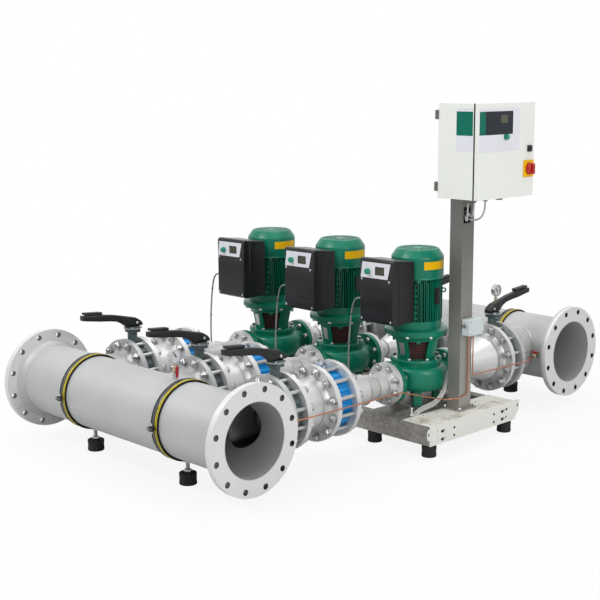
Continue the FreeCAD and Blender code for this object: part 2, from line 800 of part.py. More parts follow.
def needle(axis_y):
    x, y = gauge_x, axis_y
    face_y = y - gauge_t / 2 + 8 - seat_gap
    outline = [(-2.5, -9), (2.5, -9), (3.5, 0), (1, 22), (-1, 22), (-3.5, 0)]
    bar = prism(outline, "xz", 0, 2)
    bar.rotate(V(0, 0, 0), Y, -35)
    bar.translate(V(x, face_y - 2, gauge_z))
    return around(x, y, bar, gauge_turn)


def cock(x, y, z, way):
    """Body of a small ball valve screwed to a header."""
    return turn_profile([(0, 0), (8, 0), (cock_r, 8), (cock_r, 32), (7, cock_l), (0, cock_l)], (x, y, z), way)


def gauge_cock_handle():
    """Lever handle hanging beside the gauge's cock, on a spindle along X."""
    x = gauge_x + cock_r + seat_gap
    z = gauge_cock_z
    blade = prism([(-6, z), (-7, z - 10), (-4.5, z - 40), (4.5, z - 40), (7, z - 10), (6, z)],
                  "yz", x, x + handle_t)
    return join(blade, cyl(handle_hub_r, handle_t, (x, 0, z), X))


def drain_cock_handle():
    """Wing handle over the suction header's ball valve, on an upright spindle."""
    x, y, z = drain_cock_x, suction_y - header_r - cock_l / 2, drain_cock_z + cock_r + seat_gap
    outline = [(x - 20, z + 5), (x - 9, z + 3), (x - 7, z), (x + 7, z), (x + 9, z + 3), (x + 20, z + 5)]
    outline += [(x + 20, z + 10), (x - 20, z + 10)]
    return join(prism(outline, "xz", y - 6, y + 6), cyl(wing_hub_r, 10, (x, y, z)))


# Tubes and cables
def copper_tubes():
    """Sensing tubes: the headers' pressure taken to the box on the post."""
    face_x = post_x[1] + 6
    box_z = junction_z[0]
    front = [(tap_x, header_r + tap_l, tap_z), (tap_x, 930, 284), (-45, 1215, 200), (face_x, 1246, 212)]
    front += [(face_x, 1308, 222), (face_x, 1308, box_z)]
    rear = [(face_x, 1342, box_z), (face_x, 1342, 306), (-56, 1905, 272), (drain_cock_x, 1950, drain_cock_z)]
    rear += [(drain_cock_x, suction_y - header_r - cock_l, drain_cock_z)]
    return [route_tube(front, tube_r, "front tube", tube_bend),
            route_tube(rear, tube_r, "rear tube", tube_bend)]


def cabinet_cables():
    """Three leads from the cabinet's glands in a bow into the post's slot."""
    z = cabinet_z[0] - cabinet_gland_l
    x = cabinet_gland_x
    first = [(x, 1160, z), (x, 1160, z - 36), (98, 1172, 1056), (78, 1196, 1042), (52, 1226, 1037)]
    first += [(26, 1256, 1042), (0, 1284, 1052), (-26, 1300, 1056)]
    second = [(x, 1203, z), (x, 1203, z - 36), (95, 1214, 1062), (68, 1236, 1056), (40, 1262, 1060)]
    second += [(10, 1284, 1068), (-24, 1296, 1070)]
    third = [(x, 1283, z), (x, 1283, z - 34), (93, 1284, 1052), (63, 1287, 1036), (28, 1291, 1033)]
    third += [(-12, 1294, 1038)]
    return [route_tube(points, cable_r, "cabinet cable") for points in (first, second, third)]


def pump_cables():
    """One lead per pump from the converter's side gland down into the front channel."""
    z = pump_cable_z
    y = pump_cable_y
    cables = []
    for x in lanes_x:
        x0 = x - box_w / 2 - gland_l
        points = [(x0, y, z), (x0 - 27, y, z), (x0 - 46, y - 2, z - 22), (x0 - 55, y - 4, z - 56)]
        points += [(x0 - 62, y - 6, z - 110), (x0 - 70, y - 8, z - 205), (x0 - 75, y - 7, z - 310)]
        points += [(x0 - 76, y - 3, z - 412), (x0 - 76, y, z - 470), (x0 - 76, y, beam_top_z + grommet_h)]
        cables.append(route_tube(points, cable_r, "pump cable"))
    return cables


def post_cables():
    """Three leads out of the post's rear slot, forward and down into the front channel."""
    base = [(-34, 1292, 420), (-46, 1291, 385), (-62, 1288, 351), (-70, 1280, 316), (-71, 1268, 280)]
    base += [(-71, 1254, 246), (-71, 1236, 214), (-72, 1208, 190), (-74, 1172, 176), (-77, 1134, 171)]
    base += [(-84, 1096, 162), (-88, 1062, 146), (-90, 1040, 122), (-90, 1010, 102)]
    end_y = base_front_y + beam_t
    cables = []
    for k in range(3):
        points = [(x - 8 * k, y + 4 * k, z + 5 * k) for x, y, z in base]
        x, y, z = points[-1]
        points.append((x, end_y, z))
        cables.append(route_tube(points, cable_r, "post cable"))
    return cables


def main():
    os.makedirs("parts", exist_ok=True)
    export("discharge_header", *header(0.0, 0.0, branch_flange_back, 1))
    export("suction_header", *header(suction_shift_x, suction_y, rear_branch, -1))

    bodies = []
    studs = []
    for x in lanes_x:
        for y in (valve_mid, rear_mid):
            bodies += [valve_body(x, y), notch_plate(x, y)]
            studs += stud_ring(x, y - valve_width / 2, y + valve_width / 2)
        studs += stud_ring(x, check_front, check_back)
    export("valve_bodies", *bodies)
    export("tie_studs", *studs)
    export("check_valve_bodies", *[check_body(x) for x in lanes_x])
    export("lane_pipework", *[make(x) for x in lanes_x for make in (spool, reducer, suction_cone)])

    export("pump_casings", *[pump_casing(x) for x in lanes_x])
    export("lanterns", *[lantern(x) for x in lanes_x])
    export("coupling_guards", *[guard for x in lanes_x for guard in coupling_guards(x)])
    export("motor_housings", *[solid for x in lanes_x for solid in motor_housing(x)])
    export("fan_covers", *[fan_cover(x) for x in lanes_x])
    export("converters", *[converter(x) for x in lanes_x])

    for i, x in enumerate(lanes_x, 1):
        for side, y, toward in (("discharge", valve_mid, -1), ("suction", rear_mid, 1)):
            export(f"{side}_lever_{i}", lever_arm(x, y, toward))
            export(f"{side}_grip_{i}", grip(x, y, toward))
            export(f"{side}_disc_{i}", disc_with_stem(x, y))
        export(f"check_disc_{i}", check_disc(x))
        export(f"rotor_{i}", rotor(x))
        export(f"converter_knob_{i}", cyl(knob_r, knob_l, (x - knob_side, box_front_y - seat_gap, knob_z), Y * -1))

    linings, straps, rods, feet = [], [], [], []
    supports = [(x, 0.0) for x in clamp_xs_discharge] + [(x, suction_y) for x in clamp_xs_suction]
    for x, y in supports:
        lining, strap, rod, foot = clamp_set(x, y)
        linings.append(lining)
        straps += strap
        rods.append(rod)
        feet.append(foot)
    inset = machine_foot_r
    middle_feet = [x + machine_foot_shift for x in lanes_x]
    for x in (base_left_x + inset, *middle_feet, base_right_x - inset):
        for y in (base_front_y + inset, channel_back_y - inset):
            feet.append(cyl(machine_foot_r, foot_h, (x, y, 0)))
            rods.append(prism(regular(6, stud_foot_r, x, y), "xy", foot_h, beam_low_z))
    export("clamp_linings", *linings)
    export("clamp_straps", *straps)
    export("rubber_feet", *feet)

    beams = [channel_x(base_front_y, 1), channel_x(channel_back_y, -1)]
    for x in lanes_x:
        beams.append(cross_member(x))
        beams.append(block(x - cradle_w / 2, x + cradle_w / 2, *cradle_y, beam_top_z, beam_top_z + cradle_t))
        gx = x - box_w / 2 - gland_l - 76
        beams.append(prism(regular(6, grommet_r, gx, pump_cable_y), "xy", beam_top_z, beam_top_z + grommet_h))
    export("frame_steelwork", *beams, *rods)
    deck = block(base_right_x - deck_w, base_right_x, base_front_y, channel_back_y, beam_top_z, beam_top_z + deck_t)
    export("frame_ends", end_profile(base_right_x, -1), end_profile(base_left_x, 1), deck)

    export("control_post", *control_post())
    glands = []
    for y in cabinet_glands_y:
        glands.append(prism(regular(6, cabinet_gland_r, cabinet_gland_x, y), "xy",
                            cabinet_z[0] - cabinet_gland_l, cabinet_z[0]))
    export("cabinet_housing", cabinet_housing(), *glands)
    export("cabinet_door", cabinet_door())
    export("main_switch", main_switch())
    export("door_lock", door_lock())
    export("door_knob", cyl(knob_r, knob_l, (door_face + seat_gap, *door_knob_yz), X))
    export("junction_box", block(post_x[1], post_x[1] + junction_depth, *junction_y, *junction_z))

    drain = cock(drain_cock_x, suction_y - header_r, drain_cock_z, Y * -1)
    tap = prism(regular(6, 9, tap_x, tap_z), "xz", header_r, header_r + tap_l)
    export("gauges", gauge(0.0), gauge(suction_y), drain, tap)
    export("discharge_needle", needle(0.0))
    export("suction_needle", needle(suction_y))
    export("gauge_cock_handle", gauge_cock_handle())
    export("drain_cock_handle", drain_cock_handle())
    export("copper_tubes", *copper_tubes())
    export("cabinet_cables", *cabinet_cables())
    export("pump_cables", *pump_cables())
    export("post_cables", *post_cables())


main()
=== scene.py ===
# %% [markdown]
# # A booster pump set, dressed for its picture
# Three vertical pumps stand between two wide steel headers and push water from one to the other.
# The solids of the set come ready from the frame. This lesson gives each of them its finish and adds
# what the solids leave out: bolts, welds, labels, dials, leads and the rounding of cast pieces.

# %% The frame
import json
import math
import bpy
import bmesh
import numpy as np
from mathutils import Matrix, Vector


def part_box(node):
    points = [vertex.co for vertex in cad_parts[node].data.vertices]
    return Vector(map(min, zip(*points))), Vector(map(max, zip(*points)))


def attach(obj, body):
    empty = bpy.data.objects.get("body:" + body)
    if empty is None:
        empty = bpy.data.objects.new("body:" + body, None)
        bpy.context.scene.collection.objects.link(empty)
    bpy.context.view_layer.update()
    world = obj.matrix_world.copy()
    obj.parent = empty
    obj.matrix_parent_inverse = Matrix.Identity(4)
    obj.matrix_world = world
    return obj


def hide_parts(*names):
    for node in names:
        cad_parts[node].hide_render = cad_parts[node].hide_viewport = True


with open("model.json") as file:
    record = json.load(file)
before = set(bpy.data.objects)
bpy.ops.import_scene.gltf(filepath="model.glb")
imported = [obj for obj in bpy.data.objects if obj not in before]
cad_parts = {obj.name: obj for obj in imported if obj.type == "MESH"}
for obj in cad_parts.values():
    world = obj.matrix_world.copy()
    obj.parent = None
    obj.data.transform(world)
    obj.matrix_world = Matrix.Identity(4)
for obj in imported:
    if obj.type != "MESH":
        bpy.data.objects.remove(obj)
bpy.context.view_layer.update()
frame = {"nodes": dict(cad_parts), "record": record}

# %% [markdown]
# The set is easiest to describe as it is set out on the floor: X from the right end of the discharge
# header, Y from that header's axis towards the suction header, Z from the floor, all in millimetres.
# The boxes of a few nodes give the shift to the frame and the three lanes, so nothing here is typed twice.

# %% Layout
header_flange_r = 230.0
header_low, header_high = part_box("discharge_header")
SHIFT = np.array([header_high[0], header_low[1] + header_flange_r / 1000, 0.0])


def corners(node):
    """A node's lowest and highest corner in layout millimetres: (metres minus the shift) times 1000."""
    low, high = (np.array(corner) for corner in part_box(node))
    return (low - SHIFT) * 1000, (high - SHIFT) * 1000


def middle(node):
    """The middle of a node's box: half the sum of its two corners."""
    low, high = corners(node)
    return (low + high) / 2


lanes = [middle(f"rotor_{i}")[0] for i in (1, 2, 3)]
pump_y = middle("rotor_1")[1]
pipe_z = middle("discharge_header")[2]
valve_ys = {"discharge": middle("discharge_disc_1")[1], "suction": middle("suction_disc_1")[1]}
suction_y = corners("suction_header")[1][1] - header_flange_r
header_ys = {"discharge": 0.0, "suction": suction_y}
header_r = 161.95
lane_pipe_r = 109.55
print("lanes at", np.round(lanes), "pumps at", round(pump_y), "axis height", round(pipe_z))

# %% [markdown]
# ## The camera
# The camera stands where the photographer stood: its place, its turn, its slight downward tilt and
# roll, and a lens of about 73 mm on a 36 mm sensor for the square picture.

# %% Camera
camera_place = np.array([3386.7, -3027.1, 1666.7])
camera_turn, camera_tilt, camera_roll = 45.975, 10.408, -0.297
focal_pixels, picture_pixels = 1211.8, 600.0
camera_data = bpy.data.cameras.new("camera")
camera_data.sensor_width = 36.0
camera_data.lens = focal_pixels / picture_pixels * camera_data.sensor_width
camera_data.clip_end = 100.0
camera = bpy.data.objects.new("camera", camera_data)
bpy.context.scene.collection.objects.link(camera)
aim = (Matrix.Rotation(math.radians(camera_turn), 4, "Z")
       @ Matrix.Rotation(math.radians(90 - camera_tilt), 4, "X")
       @ Matrix.Rotation(math.radians(camera_roll), 4, "Z"))
camera.matrix_world = Matrix.Translation(camera_place / 1000 + SHIFT) @ aim
bpy.context.scene.camera = camera
bpy.context.scene.view_settings.view_transform = "Standard"
print("lens", round(camera_data.lens, 1), "mm")

# %% [markdown]
# ## Finishes
# A finish is a small graph of shader nodes. Written as arithmetic it reads like a formula, so one class
# wraps a node's output and turns +, -, * and / into Math nodes, and a second class builds the graph.

# %% Shader arithmetic
class Value:
    """One output in a shader graph; arithmetic on it adds Math nodes."""

    def __init__(self, finish, socket):
        self.finish = finish
        self.socket = socket

    def calc(self, operation, *others):
        """A Math node of the named operation, with this value first and the others after it."""
        values = dict(enumerate((self,) + others))
        return self.finish.node("ShaderNodeMath", {"operation": operation}, values)

    def __add__(self, other):
        return self.calc("ADD", other)

    def __sub__(self, other):
        return self.calc("SUBTRACT", other)

    def __rsub__(self, other):
        return self.finish.node("ShaderNodeMath", {"operation": "SUBTRACT"}, {0: other, 1: self})

    def __mul__(self, other):
        return self.calc("MULTIPLY", other)

    def __truediv__(self, other):
        return self.calc("DIVIDE", other)

    __radd__ = __add__
    __rmul__ = __mul__

    def hypotenuse(self, other):
        """sqrt(self^2 + other^2)"""
        return (self * self + other * other).calc("SQRT")

    def above(self, edge, soft=0.02):
        """0 below the edge and 1 above it, with a soft step: clamp((value - edge) / soft)."""
        step = (self - edge) / soft
        step.socket.node.use_clamp = True
        return step


# %% [markdown]
# A Principled shader stands in every finish. One method adds any node by its type, settings and inputs,
# and the rest are short names for the nodes that come up most: noise, a coordinate, a blend of colours.

# %% A finish and its nodes
class Finish:
    """A material with a Principled shader, kept under its name, and short calls for the nodes around it."""

    def __init__(self, name, roughness=0.5, metallic=0.0, coat=0.0, specular=0.5):
        self.material = bpy.data.materials.new(name)
        self.material.use_nodes = True
        self.tree = self.material.node_tree
        self.shader = self.tree.nodes["Principled BSDF"]
        self.shader.inputs["Roughness"].default_value = roughness
        self.shader.inputs["Metallic"].default_value = metallic
        self.shader.inputs["Coat Weight"].default_value = coat
        self.shader.inputs["Specular IOR Level"].default_value = specular
        self.place = self.node("ShaderNodeTexCoord", out="Object")
        finishes[name] = self

    def node(self, kind, settings=None, inputs=None, out=0):
        """Adds a node: settings first, then each input as a number, colour or link."""
        made = self.tree.nodes.new(kind)
        for key, value in (settings or {}).items():
            setattr(made, key, value)
        for key, value in (inputs or {}).items():
            if isinstance(value, Value):
                self.tree.links.new(value.socket, made.inputs[key])
            else:
                made.inputs[key].default_value = value
        return Value(self, made.outputs[out])

    def stretched(self, scale):
        """The place, with each coordinate times its own scale, so noise on it turns into streaks."""
        return self.node("ShaderNodeMapping", None, {"Vector": self.place, "Scale": scale})

    def noise(self, scale, detail=4.0, rough=0.55, where=None):
        """Cloudy values round 0.5; the scale is about how many clouds lie in a metre of the place."""
        inputs = {"Vector": where or self.place, "Scale": scale, "Detail": detail, "Roughness": rough}
        return self.node("ShaderNodeTexNoise", None, inputs)

    def along(self, axis):
        """One coordinate of the place, 0 for X, 1 for Y and 2 for Z, in metres."""
        return self.node("ShaderNodeSeparateXYZ", None, {0: self.place}, axis)

    def blend(self, factor, first, second):
        """Mixes two colours: 0 gives the first and 1 the second."""
        return self.node("ShaderNodeMix", {"data_type": "RGBA"}, {0: factor, 6: first, 7: second}, 2)

    def feed(self, socket, value):
        """Links a value to a socket of the Principled shader."""
        self.tree.links.new(value.socket, self.shader.inputs[socket])
        return self

    def bump(self, height, strength, distance):
        """Tilts the normals as if the surface rose by height times distance in metres; strength fades it."""
        inputs = {"Height": height, "Strength": strength, "Distance": distance}
        return self.feed("Normal", self.node("ShaderNodeBump", None, inputs))


finishes = {}


def shade(colour, share):
    """The same colour, darker: each channel times the share."""
    return tuple(channel * share for channel in colour) + (1.0,)


# %% [markdown]
# Paint on a machine is never one colour: it sags, dulls where hands and dust reach, and its gloss wavers.
# One function makes all painted and moulded surfaces from a base colour, the depth of its darker
# patches, a roughness and the grain of the surface. Cast iron shows a coarse grain and sheet a fine one.

# %% Paint and plastic
def painted(name, colour, deep, roughness, grain, relief, coat=0.0, specular=0.35):
    """Patches = wide noise + specks; gloss = roughness + patches; bump = fine noise of the grain's size."""
    finish = Finish(name, roughness, coat=coat, specular=specular)
    patches = finish.noise(7.0, 6.0)
    specks = finish.noise(90.0, 3.0)
    mask = (patches * 0.75 + specks * 0.25).above(0.42, 0.30)
    finish.feed("Base Color", finish.blend(mask, shade(colour, deep), shade(colour, 1.0)))
    finish.feed("Roughness", patches * 0.22 + (roughness - 0.11))
    finish.bump(finish.noise(grain, 5.0), relief, 0.0006)


painted("pump_green", (0.001, 0.220, 0.128), 0.72, 0.34, 260, 0.20, 0.10, 0.30)
painted("valve_grey", (0.105, 0.140, 0.142), 0.66, 0.50, 420, 0.35)
painted("check_blue", (0.0, 0.270, 0.70), 0.70, 0.36, 420, 0.25, 0.15)
painted("lever_black", (0.014, 0.014, 0.015), 0.60, 0.40, 600, 0.25)
painted("grip_black", (0.012, 0.012, 0.013), 0.60, 0.48, 700, 0.25)
painted("converter_black", (0.0105, 0.0105, 0.012), 0.70, 0.30, 900, 0.12, 0.12, 0.28)
painted("lock_black", (0.012, 0.012, 0.013), 0.60, 0.40, 900, 0.12)
painted("needle_black", (0.010, 0.010, 0.010), 0.70, 0.45, 500, 0.10)
painted("lining_black", (0.010, 0.010, 0.011), 0.60, 0.60, 500, 0.30, 0.0, 0.25)
painted("foot_rubber", (0.038, 0.038, 0.040), 0.55, 0.75, 220, 0.55, 0.0, 0.20)
painted("cabinet_white", (0.800, 0.815, 0.765), 0.965, 0.46, 1400, 0.25, 0.0, 0.30)
painted("box_grey", (0.620, 0.680, 0.685), 0.92, 0.42, 700, 0.12)
painted("switch_red", (0.560, 0.022, 0.016), 0.74, 0.32, 500, 0.08, 0.25)
painted("handle_red", (0.480, 0.010, 0.024), 0.70, 0.38, 500, 0.15, 0.2)
painted("knob_green", (0.004, 0.300, 0.190), 0.75, 0.30, 600, 0.08, 0.2)
painted("cable_grey", (0.300, 0.300, 0.295), 0.70, 0.50, 900, 0.15)
painted("lead_grey", (0.560, 0.560, 0.545), 0.80, 0.46, 900, 0.15)
painted("gland_grey", (0.215, 0.205, 0.190), 0.70, 0.46, 600, 0.12)
painted("panel_green", (0.002, 0.150, 0.100), 0.88, 0.40, 700, 0.05, 0.0, 0.16)
painted("panel_dark", (0.022, 0.026, 0.034), 0.80, 0.40, 700, 0.05, 0.0, 0.18)
painted("label_white", (0.745, 0.745, 0.790), 0.95, 0.38, 700, 0.05)
painted("label_yellow", (0.900, 0.500, 0.002), 0.92, 0.42, 500, 0.08, 0.0, 0.16)
painted("display", (0.050, 0.045, 0.020), 0.72, 0.16, 700, 0.02, 0.5)
# Painted shade: near black for holes and hollows that look dark from their depth.
painted("painted_hole_shade", (0.008, 0.008, 0.009), 0.60, 0.70, 300, 0.05, 0.0, 0.15)
print("painted finishes", len(finishes))

# %% [markdown]
# Bare metal keeps the marks of its working. Noise squeezed along one direction gives the fine lines of
# brushing, and it drives colour, gloss and bump together. The header pipes are pickled stainless steel:
# pale, matt and only half mirror-like, so their metallic share stays low.

# %% Bare metal
def metal(name, colour, deep, roughness, stretch, relief=0.08, metallic=1.0, specular=0.5, upper=None):
    """Lines = noise on stretched coordinates; a darker top colour, a painted reflection, rises in from 0.35 m
    to 1.10 m.
    """
    finish = Finish(name, roughness, metallic=metallic, specular=specular)
    lines = finish.noise(60.0, 4.0, where=finish.stretched(stretch))
    clouds = finish.noise(5.0, 5.0)
    mask = (lines * 0.5 + clouds * 0.5).above(0.35, 0.30)
    tone = finish.blend(mask, shade(colour, deep), shade(colour, 1.0))
    # Painted reflection: a darker colour over the upper part, for dark surroundings mirrored in the steel.
    if upper:
        high = finish.blend(mask, shade(upper, deep), shade(upper, 1.0))
        tone = finish.blend(finish.along(2).above(0.35, 0.75), tone, high)
    finish.feed("Base Color", tone)
    finish.feed("Roughness", lines * 0.18 + clouds * 0.14 + (roughness - 0.16))
    finish.bump(lines, relief, 0.0003)
    return finish, tone


metal("lane_steel", (0.680, 0.680, 0.670), 0.86, 0.42, (14, 1, 14), 0.06, 0.38)
metal("weld", (0.560, 0.550, 0.530), 0.62, 0.40, (6, 6, 6), 0.5, 0.7)
metal("stud_zinc", (0.600, 0.605, 0.610), 0.62, 0.32, (8, 2, 8), 0.15)
metal("disc_steel", (0.600, 0.600, 0.600), 0.75, 0.32, (2, 2, 30), 0.10)
metal("rotor_steel", (0.520, 0.520, 0.525), 0.75, 0.34, (2, 2, 30), 0.10)
metal("strap_zinc", (0.120, 0.120, 0.125), 0.50, 0.30, (1, 8, 8), 0.10, 0.8)
# The post's darker top colour is a painted reflection of dark surroundings in its steel.
metal("post_grey", (0.360, 0.350, 0.320), 0.80, 0.38, (24, 24, 1), 0.08, 0.60, 0.4, (0.170, 0.168, 0.160))
metal("gauge_metal", (0.620, 0.540, 0.400), 0.66, 0.34, (5, 5, 5), 0.12)
metal("bezel_steel", (0.620, 0.620, 0.620), 0.70, 0.28, (5, 5, 5), 0.10)
metal("copper", (0.560, 0.235, 0.130), 0.72, 0.36, (3, 3, 9), 0.10)

# %% [markdown]
# The headers are one finish with four places in it: the pipe outside, the pale machined flanges, the bore
# with painted shade that darkens inwards, and near-black painted shade in the ways into the branches.
# Where a point lies is worked out from its distance to the pipe's end, to its axis and to the nearest lane's
# axis.

# %% Header steel, pale at the flanges, with painted shade inside
def nearest(finish, axis, places):
    """Distance along the axis to the nearest of some places: the least of |coordinate - place|, in metres."""
    away = [(finish.along(axis) - float(place)).calc("ABSOLUTE") for place in places]
    for other in away[1:]:
        away[0] = away[0].calc("MINIMUM", other)
    return away[0]


steel, tone = metal("pipe_steel", (0.480, 0.485, 0.485), 0.90, 0.46, (1, 14, 14), 0.05, 0.22, 0.35)
from_end = (header_high[0] - steel.along(0)).calc("MINIMUM", steel.along(0) - header_low[0])
pale = steel.blend(from_end.above(0.0285, 0.0005), (0.66, 0.66, 0.65, 1), tone)
rise = steel.along(2) - pipe_z / 1000
radius = nearest(steel, 1, [SHIFT[1] + y / 1000 for y in header_ys.values()]).hypotenuse(rise)
# Painted shade: the bore goes from grey at its end to near black deeper in.
depths = steel.blend(from_end.above(0.03, 0.60), (0.46, 0.46, 0.45, 1), (0.04, 0.04, 0.04, 1))
walls = steel.blend(radius.above(0.1568, 0.0012), depths, pale)
# Painted shade: near black on the inside of the header where each lane's branch opens.
sideways = nearest(steel, 0, [SHIFT[0] + x / 1000 for x in lanes])
in_lane = 1.0 - sideways.hypotenuse(rise).above(0.1045, 0.001)
midway = suction_y / 2000
inward = 1.0 - nearest(steel, 1, [SHIFT[1] + midway]).above(midway - 0.1, 0.001)
steel.feed("Base Color", steel.blend(in_lane * inward, walls, (0.012, 0.012, 0.012, 1)))
print("all finishes so far", len(finishes))

# %% [markdown]
# Hot-dip zinc freezes into flat crystals, the spangle. A Voronoi texture has the right look: each cell
# takes its own grey and its own gloss, and dirt darkens it in clouds. The end plates and the deck are
# pale, and the deck has brown stains where water has stood.

# %% Galvanised steel and worn deck
galvanised = Finish("frame_zinc", 0.45, metallic=0.65)
cell = galvanised.node("ShaderNodeTexVoronoi", None, {"Vector": galvanised.place, "Scale": 70.0}, "Color")
spangle = galvanised.node("ShaderNodeSeparateColor", None, {0: cell})
grime = galvanised.noise(5.0, 6.0) * 0.7 + spangle * 0.3
dirty = galvanised.blend(grime.above(0.25, 0.45), (0.20, 0.18, 0.16, 1), (0.42, 0.40, 0.37, 1))
galvanised.feed("Base Color", dirty)
galvanised.feed("Roughness", grime * 0.3 + 0.30)
galvanised.bump(spangle, 0.06, 0.0003)
worn = Finish("frame_cream", 0.45, specular=0.35)
stain = worn.noise(9.0, 8.0, 0.7)
specks = worn.noise(120.0, 2.0)
deck_height = 0.1485
below_deck = 1.0 - worn.along(2).above(deck_height, 0.0005)
wear = (stain * 0.8 + specks * 0.2).above(0.36, 0.14).calc("MAXIMUM", below_deck)
worn.feed("Base Color", worn.blend(wear, (0.42, 0.38, 0.30, 1), (0.72, 0.71, 0.66, 1)))
worn.feed("Roughness", 0.62 - wear * 0.16)
worn.bump(stain, 0.10, 0.0005)

# %% [markdown]
# The guard behind the lantern's windows is punched sheet. Its holes are too many to cut, so two sine
# waves across each other make a field of dots: height = |sin(a) sin(b)|, dark where it is high; that near
# black is painted shade of the lantern's inside seen through the holes.

# %% Punched sheet
guard = Finish("guard_brown", 0.5, metallic=0.3, specular=0.3)
hole_pitch = 0.0075
wave = 2 * math.pi / hole_pitch / 2
across = guard.along(0) * (wave / 0.7071)
crossing = across.calc("SINE") * (guard.along(2) * wave).calc("SINE")
holes = crossing.calc("ABSOLUTE").above(0.34, 0.12)
# Painted shade: the dots are near black for the lantern's inside behind the holes.
guard.feed("Base Color", guard.blend(holes, (0.085, 0.026, 0.024, 1), (0.004, 0.004, 0.004, 1)))
guard.feed("Roughness", holes * 0.3 + 0.42)
guard.bump(1.0 - holes, 0.5, 0.0010)

# %% [markdown]
# Every node of the record names the slot that its finish fills, so most nodes find their finish by that
# name alone. Only the lanes' pipes, which are glossier than the headers, are told apart here.

# %% Finishes of the carried-over solids
slot_of = {part["node"]: part["material_slot"] for part in frame["record"]["subparts"]}
for node, thing in frame["nodes"].items():
    finish_name = "lane_steel" if node == "lane_pipework" else slot_of[node]
    thing.data.materials.clear()
    thing.data.materials.append(finishes[finish_name].material)
print("nodes with a finish", len(frame["nodes"]))

# %% [markdown]
# ## Leads and tubes
# A lead sags and a copper tube keeps its bends. Both are curves with a round section. The NURBS spline
# of order 3 starts and ends on its first and last point and rounds each corner between.


def dressed(made, finish, body):
    """Gives a new piece its material and the body it rides on."""
    made.data.materials.append(finishes[finish].material)
    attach(made, body)
    return made


def line(name, points, radius, finish, body="set"):
    """A NURBS curve of order 3 on the points, in layout millimetres, with a round section."""
    data = bpy.data.curves.new(name, "CURVE")
    data.dimensions = "3D"
    data.bevel_depth = radius / 1000
    data.bevel_resolution = 5
    data.resolution_u = 10
    data.use_fill_caps = True
    spline = data.splines.new("NURBS")
    spline.points.add(len(points) - 1)
    flat = np.ones((len(points), 4))
    flat[:, :3] = np.array(points, float) / 1000 + SHIFT
    spline.points.foreach_set("co", flat.ravel())
    spline.order_u = 3
    spline.use_endpoint_u = True
    made = bpy.data.objects.new(name, data)
    bpy.context.scene.collection.objects.link(made)
    return dressed(made, finish, body)


def spline_points(made):
    """The points of the curve itself, in metres, read from a copy that has no round section."""
    bare = made.copy()
    bare.data = made.data.copy()
    bare.data.bevel_depth = 0
    mesh = bpy.data.meshes.new_from_object(bare)
    co = np.array([v.co for v in mesh.vertices])
    bpy.data.objects.remove(bare)
    return co


def hung(made, node):
    """Measures a lead's length along its curve and hides the node's solids that it stands for."""
    length = float(np.linalg.norm(np.diff(spline_points(made), axis=0), axis=1).sum())
    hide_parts(node)
    return length


# %% [markdown]
# Three leads bow from the cabinet's glands into the slot of the post, one hangs beside each converter,
# and three leave the post's back slot and run forward into the base channel.

# %% Leads
lead_r = 4.0
bows = [
    [(110, 1160, 1123), (110, 1160, 1087), (98, 1172, 1056), (78, 1196, 1042), (52, 1226, 1037),
     (26, 1256, 1042), (0, 1284, 1052), (-26, 1300, 1056)],
    [(110, 1203, 1123), (110, 1203, 1087), (95, 1214, 1062), (68, 1236, 1056), (40, 1262, 1060),
     (10, 1284, 1068), (-24, 1296, 1070)],
    [(110, 1283, 1123), (110, 1283, 1089), (93, 1284, 1052), (63, 1287, 1036), (28, 1291, 1033),
     (-12, 1294, 1038)],
]
for k, points in enumerate(bows, 1):
    lead = line(f"cabinet_lead_{k}", points, lead_r, "lead_grey")
    print("cabinet lead", round(hung(lead, "cabinet_cables"), 3), "m")
pump_leads = []
for k, x in enumerate(lanes, 1):
    start = x - 118
    drop = [(0, 985, 668), (-27, 985, 668), (-46, 983, 646), (-55, 981, 612), (-62, 979, 558),
            (-70, 977, 463), (-75, 978, 358), (-76, 982, 256), (-76, 985, 198), (-76, 985, 152)]
    points = [(start + dx, y, z) for dx, y, z in drop]
    lead = line(f"pump_lead_{k}", points, lead_r, "cable_grey")
    pump_leads.append(lead)
    print("pump lead", round(hung(lead, "pump_cables"), 3), "m")
run = [(-34, 1292, 420), (-46, 1291, 385), (-62, 1288, 351), (-70, 1280, 316), (-71, 1268, 280),
       (-71, 1254, 246), (-71, 1236, 214), (-72, 1208, 190), (-74, 1172, 176), (-77, 1134, 171),
       (-84, 1096, 162), (-88, 1062, 146), (-90, 1040, 122), (-90, 1010, 102), (-90, 968, 102)]
for k in range(3):
    points = [(x - 8 * k, y + 4 * k, z + 5 * k) for x, y, z in run]
    points[-1] = (points[-1][0], run[-1][1], points[-1][2])
    lead = line(f"post_lead_{k + 1}", points, lead_r, "lead_grey")
    print("post lead", round(hung(lead, "post_cables"), 3), "m")

# %% [markdown]
# Two thin copper tubes run from the headers to the middle of the set and rise there side by side. They
# are bent over short arcs, so close pairs of points hold each bend and the runs between stay straight.

# %% Copper sensing tubes
front_tube = [(-60, 183.95, 287), (-60, 500, 286), (-60, 905, 284.5), (-60, 930, 284), (-58.7, 955, 277),
              (-47, 1192, 207), (-45, 1215, 200), (-28, 1224, 204), (0, 1238, 209), (14, 1246, 212),
              (14, 1258, 214), (14, 1292, 219), (14, 1308, 222), (14, 1308, 240), (14, 1308, 400),
              (14, 1308, 505)]
rear_tube = [(14, 1342, 505), (14, 1342, 420), (14, 1342, 322), (14, 1342, 306), (12, 1358, 305),
             (-20, 1618, 289), (-54.5, 1892, 273), (-56, 1905, 272), (-64, 1913, 271), (-98, 1944, 268.5),
             (-104, 1950, 268), (-104, 1959, 268), (-104, 1984, 268)]
tube_r = 3.0
tube_front = line("copper_front", front_tube, tube_r, "copper")
line("copper_rear", rear_tube, tube_r, "copper")
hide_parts("copper_tubes")

# %% [markdown]
# ## Surfaces from arrays
# Every new piece is a grid of points worked out at once with numpy. A lathe turns a profile of
# (radius, height) pairs, a loft carries a section along a path, and copies repeat a small mesh. A shape
# is kept as a pair of arrays, its points in layout millimetres and its faces.

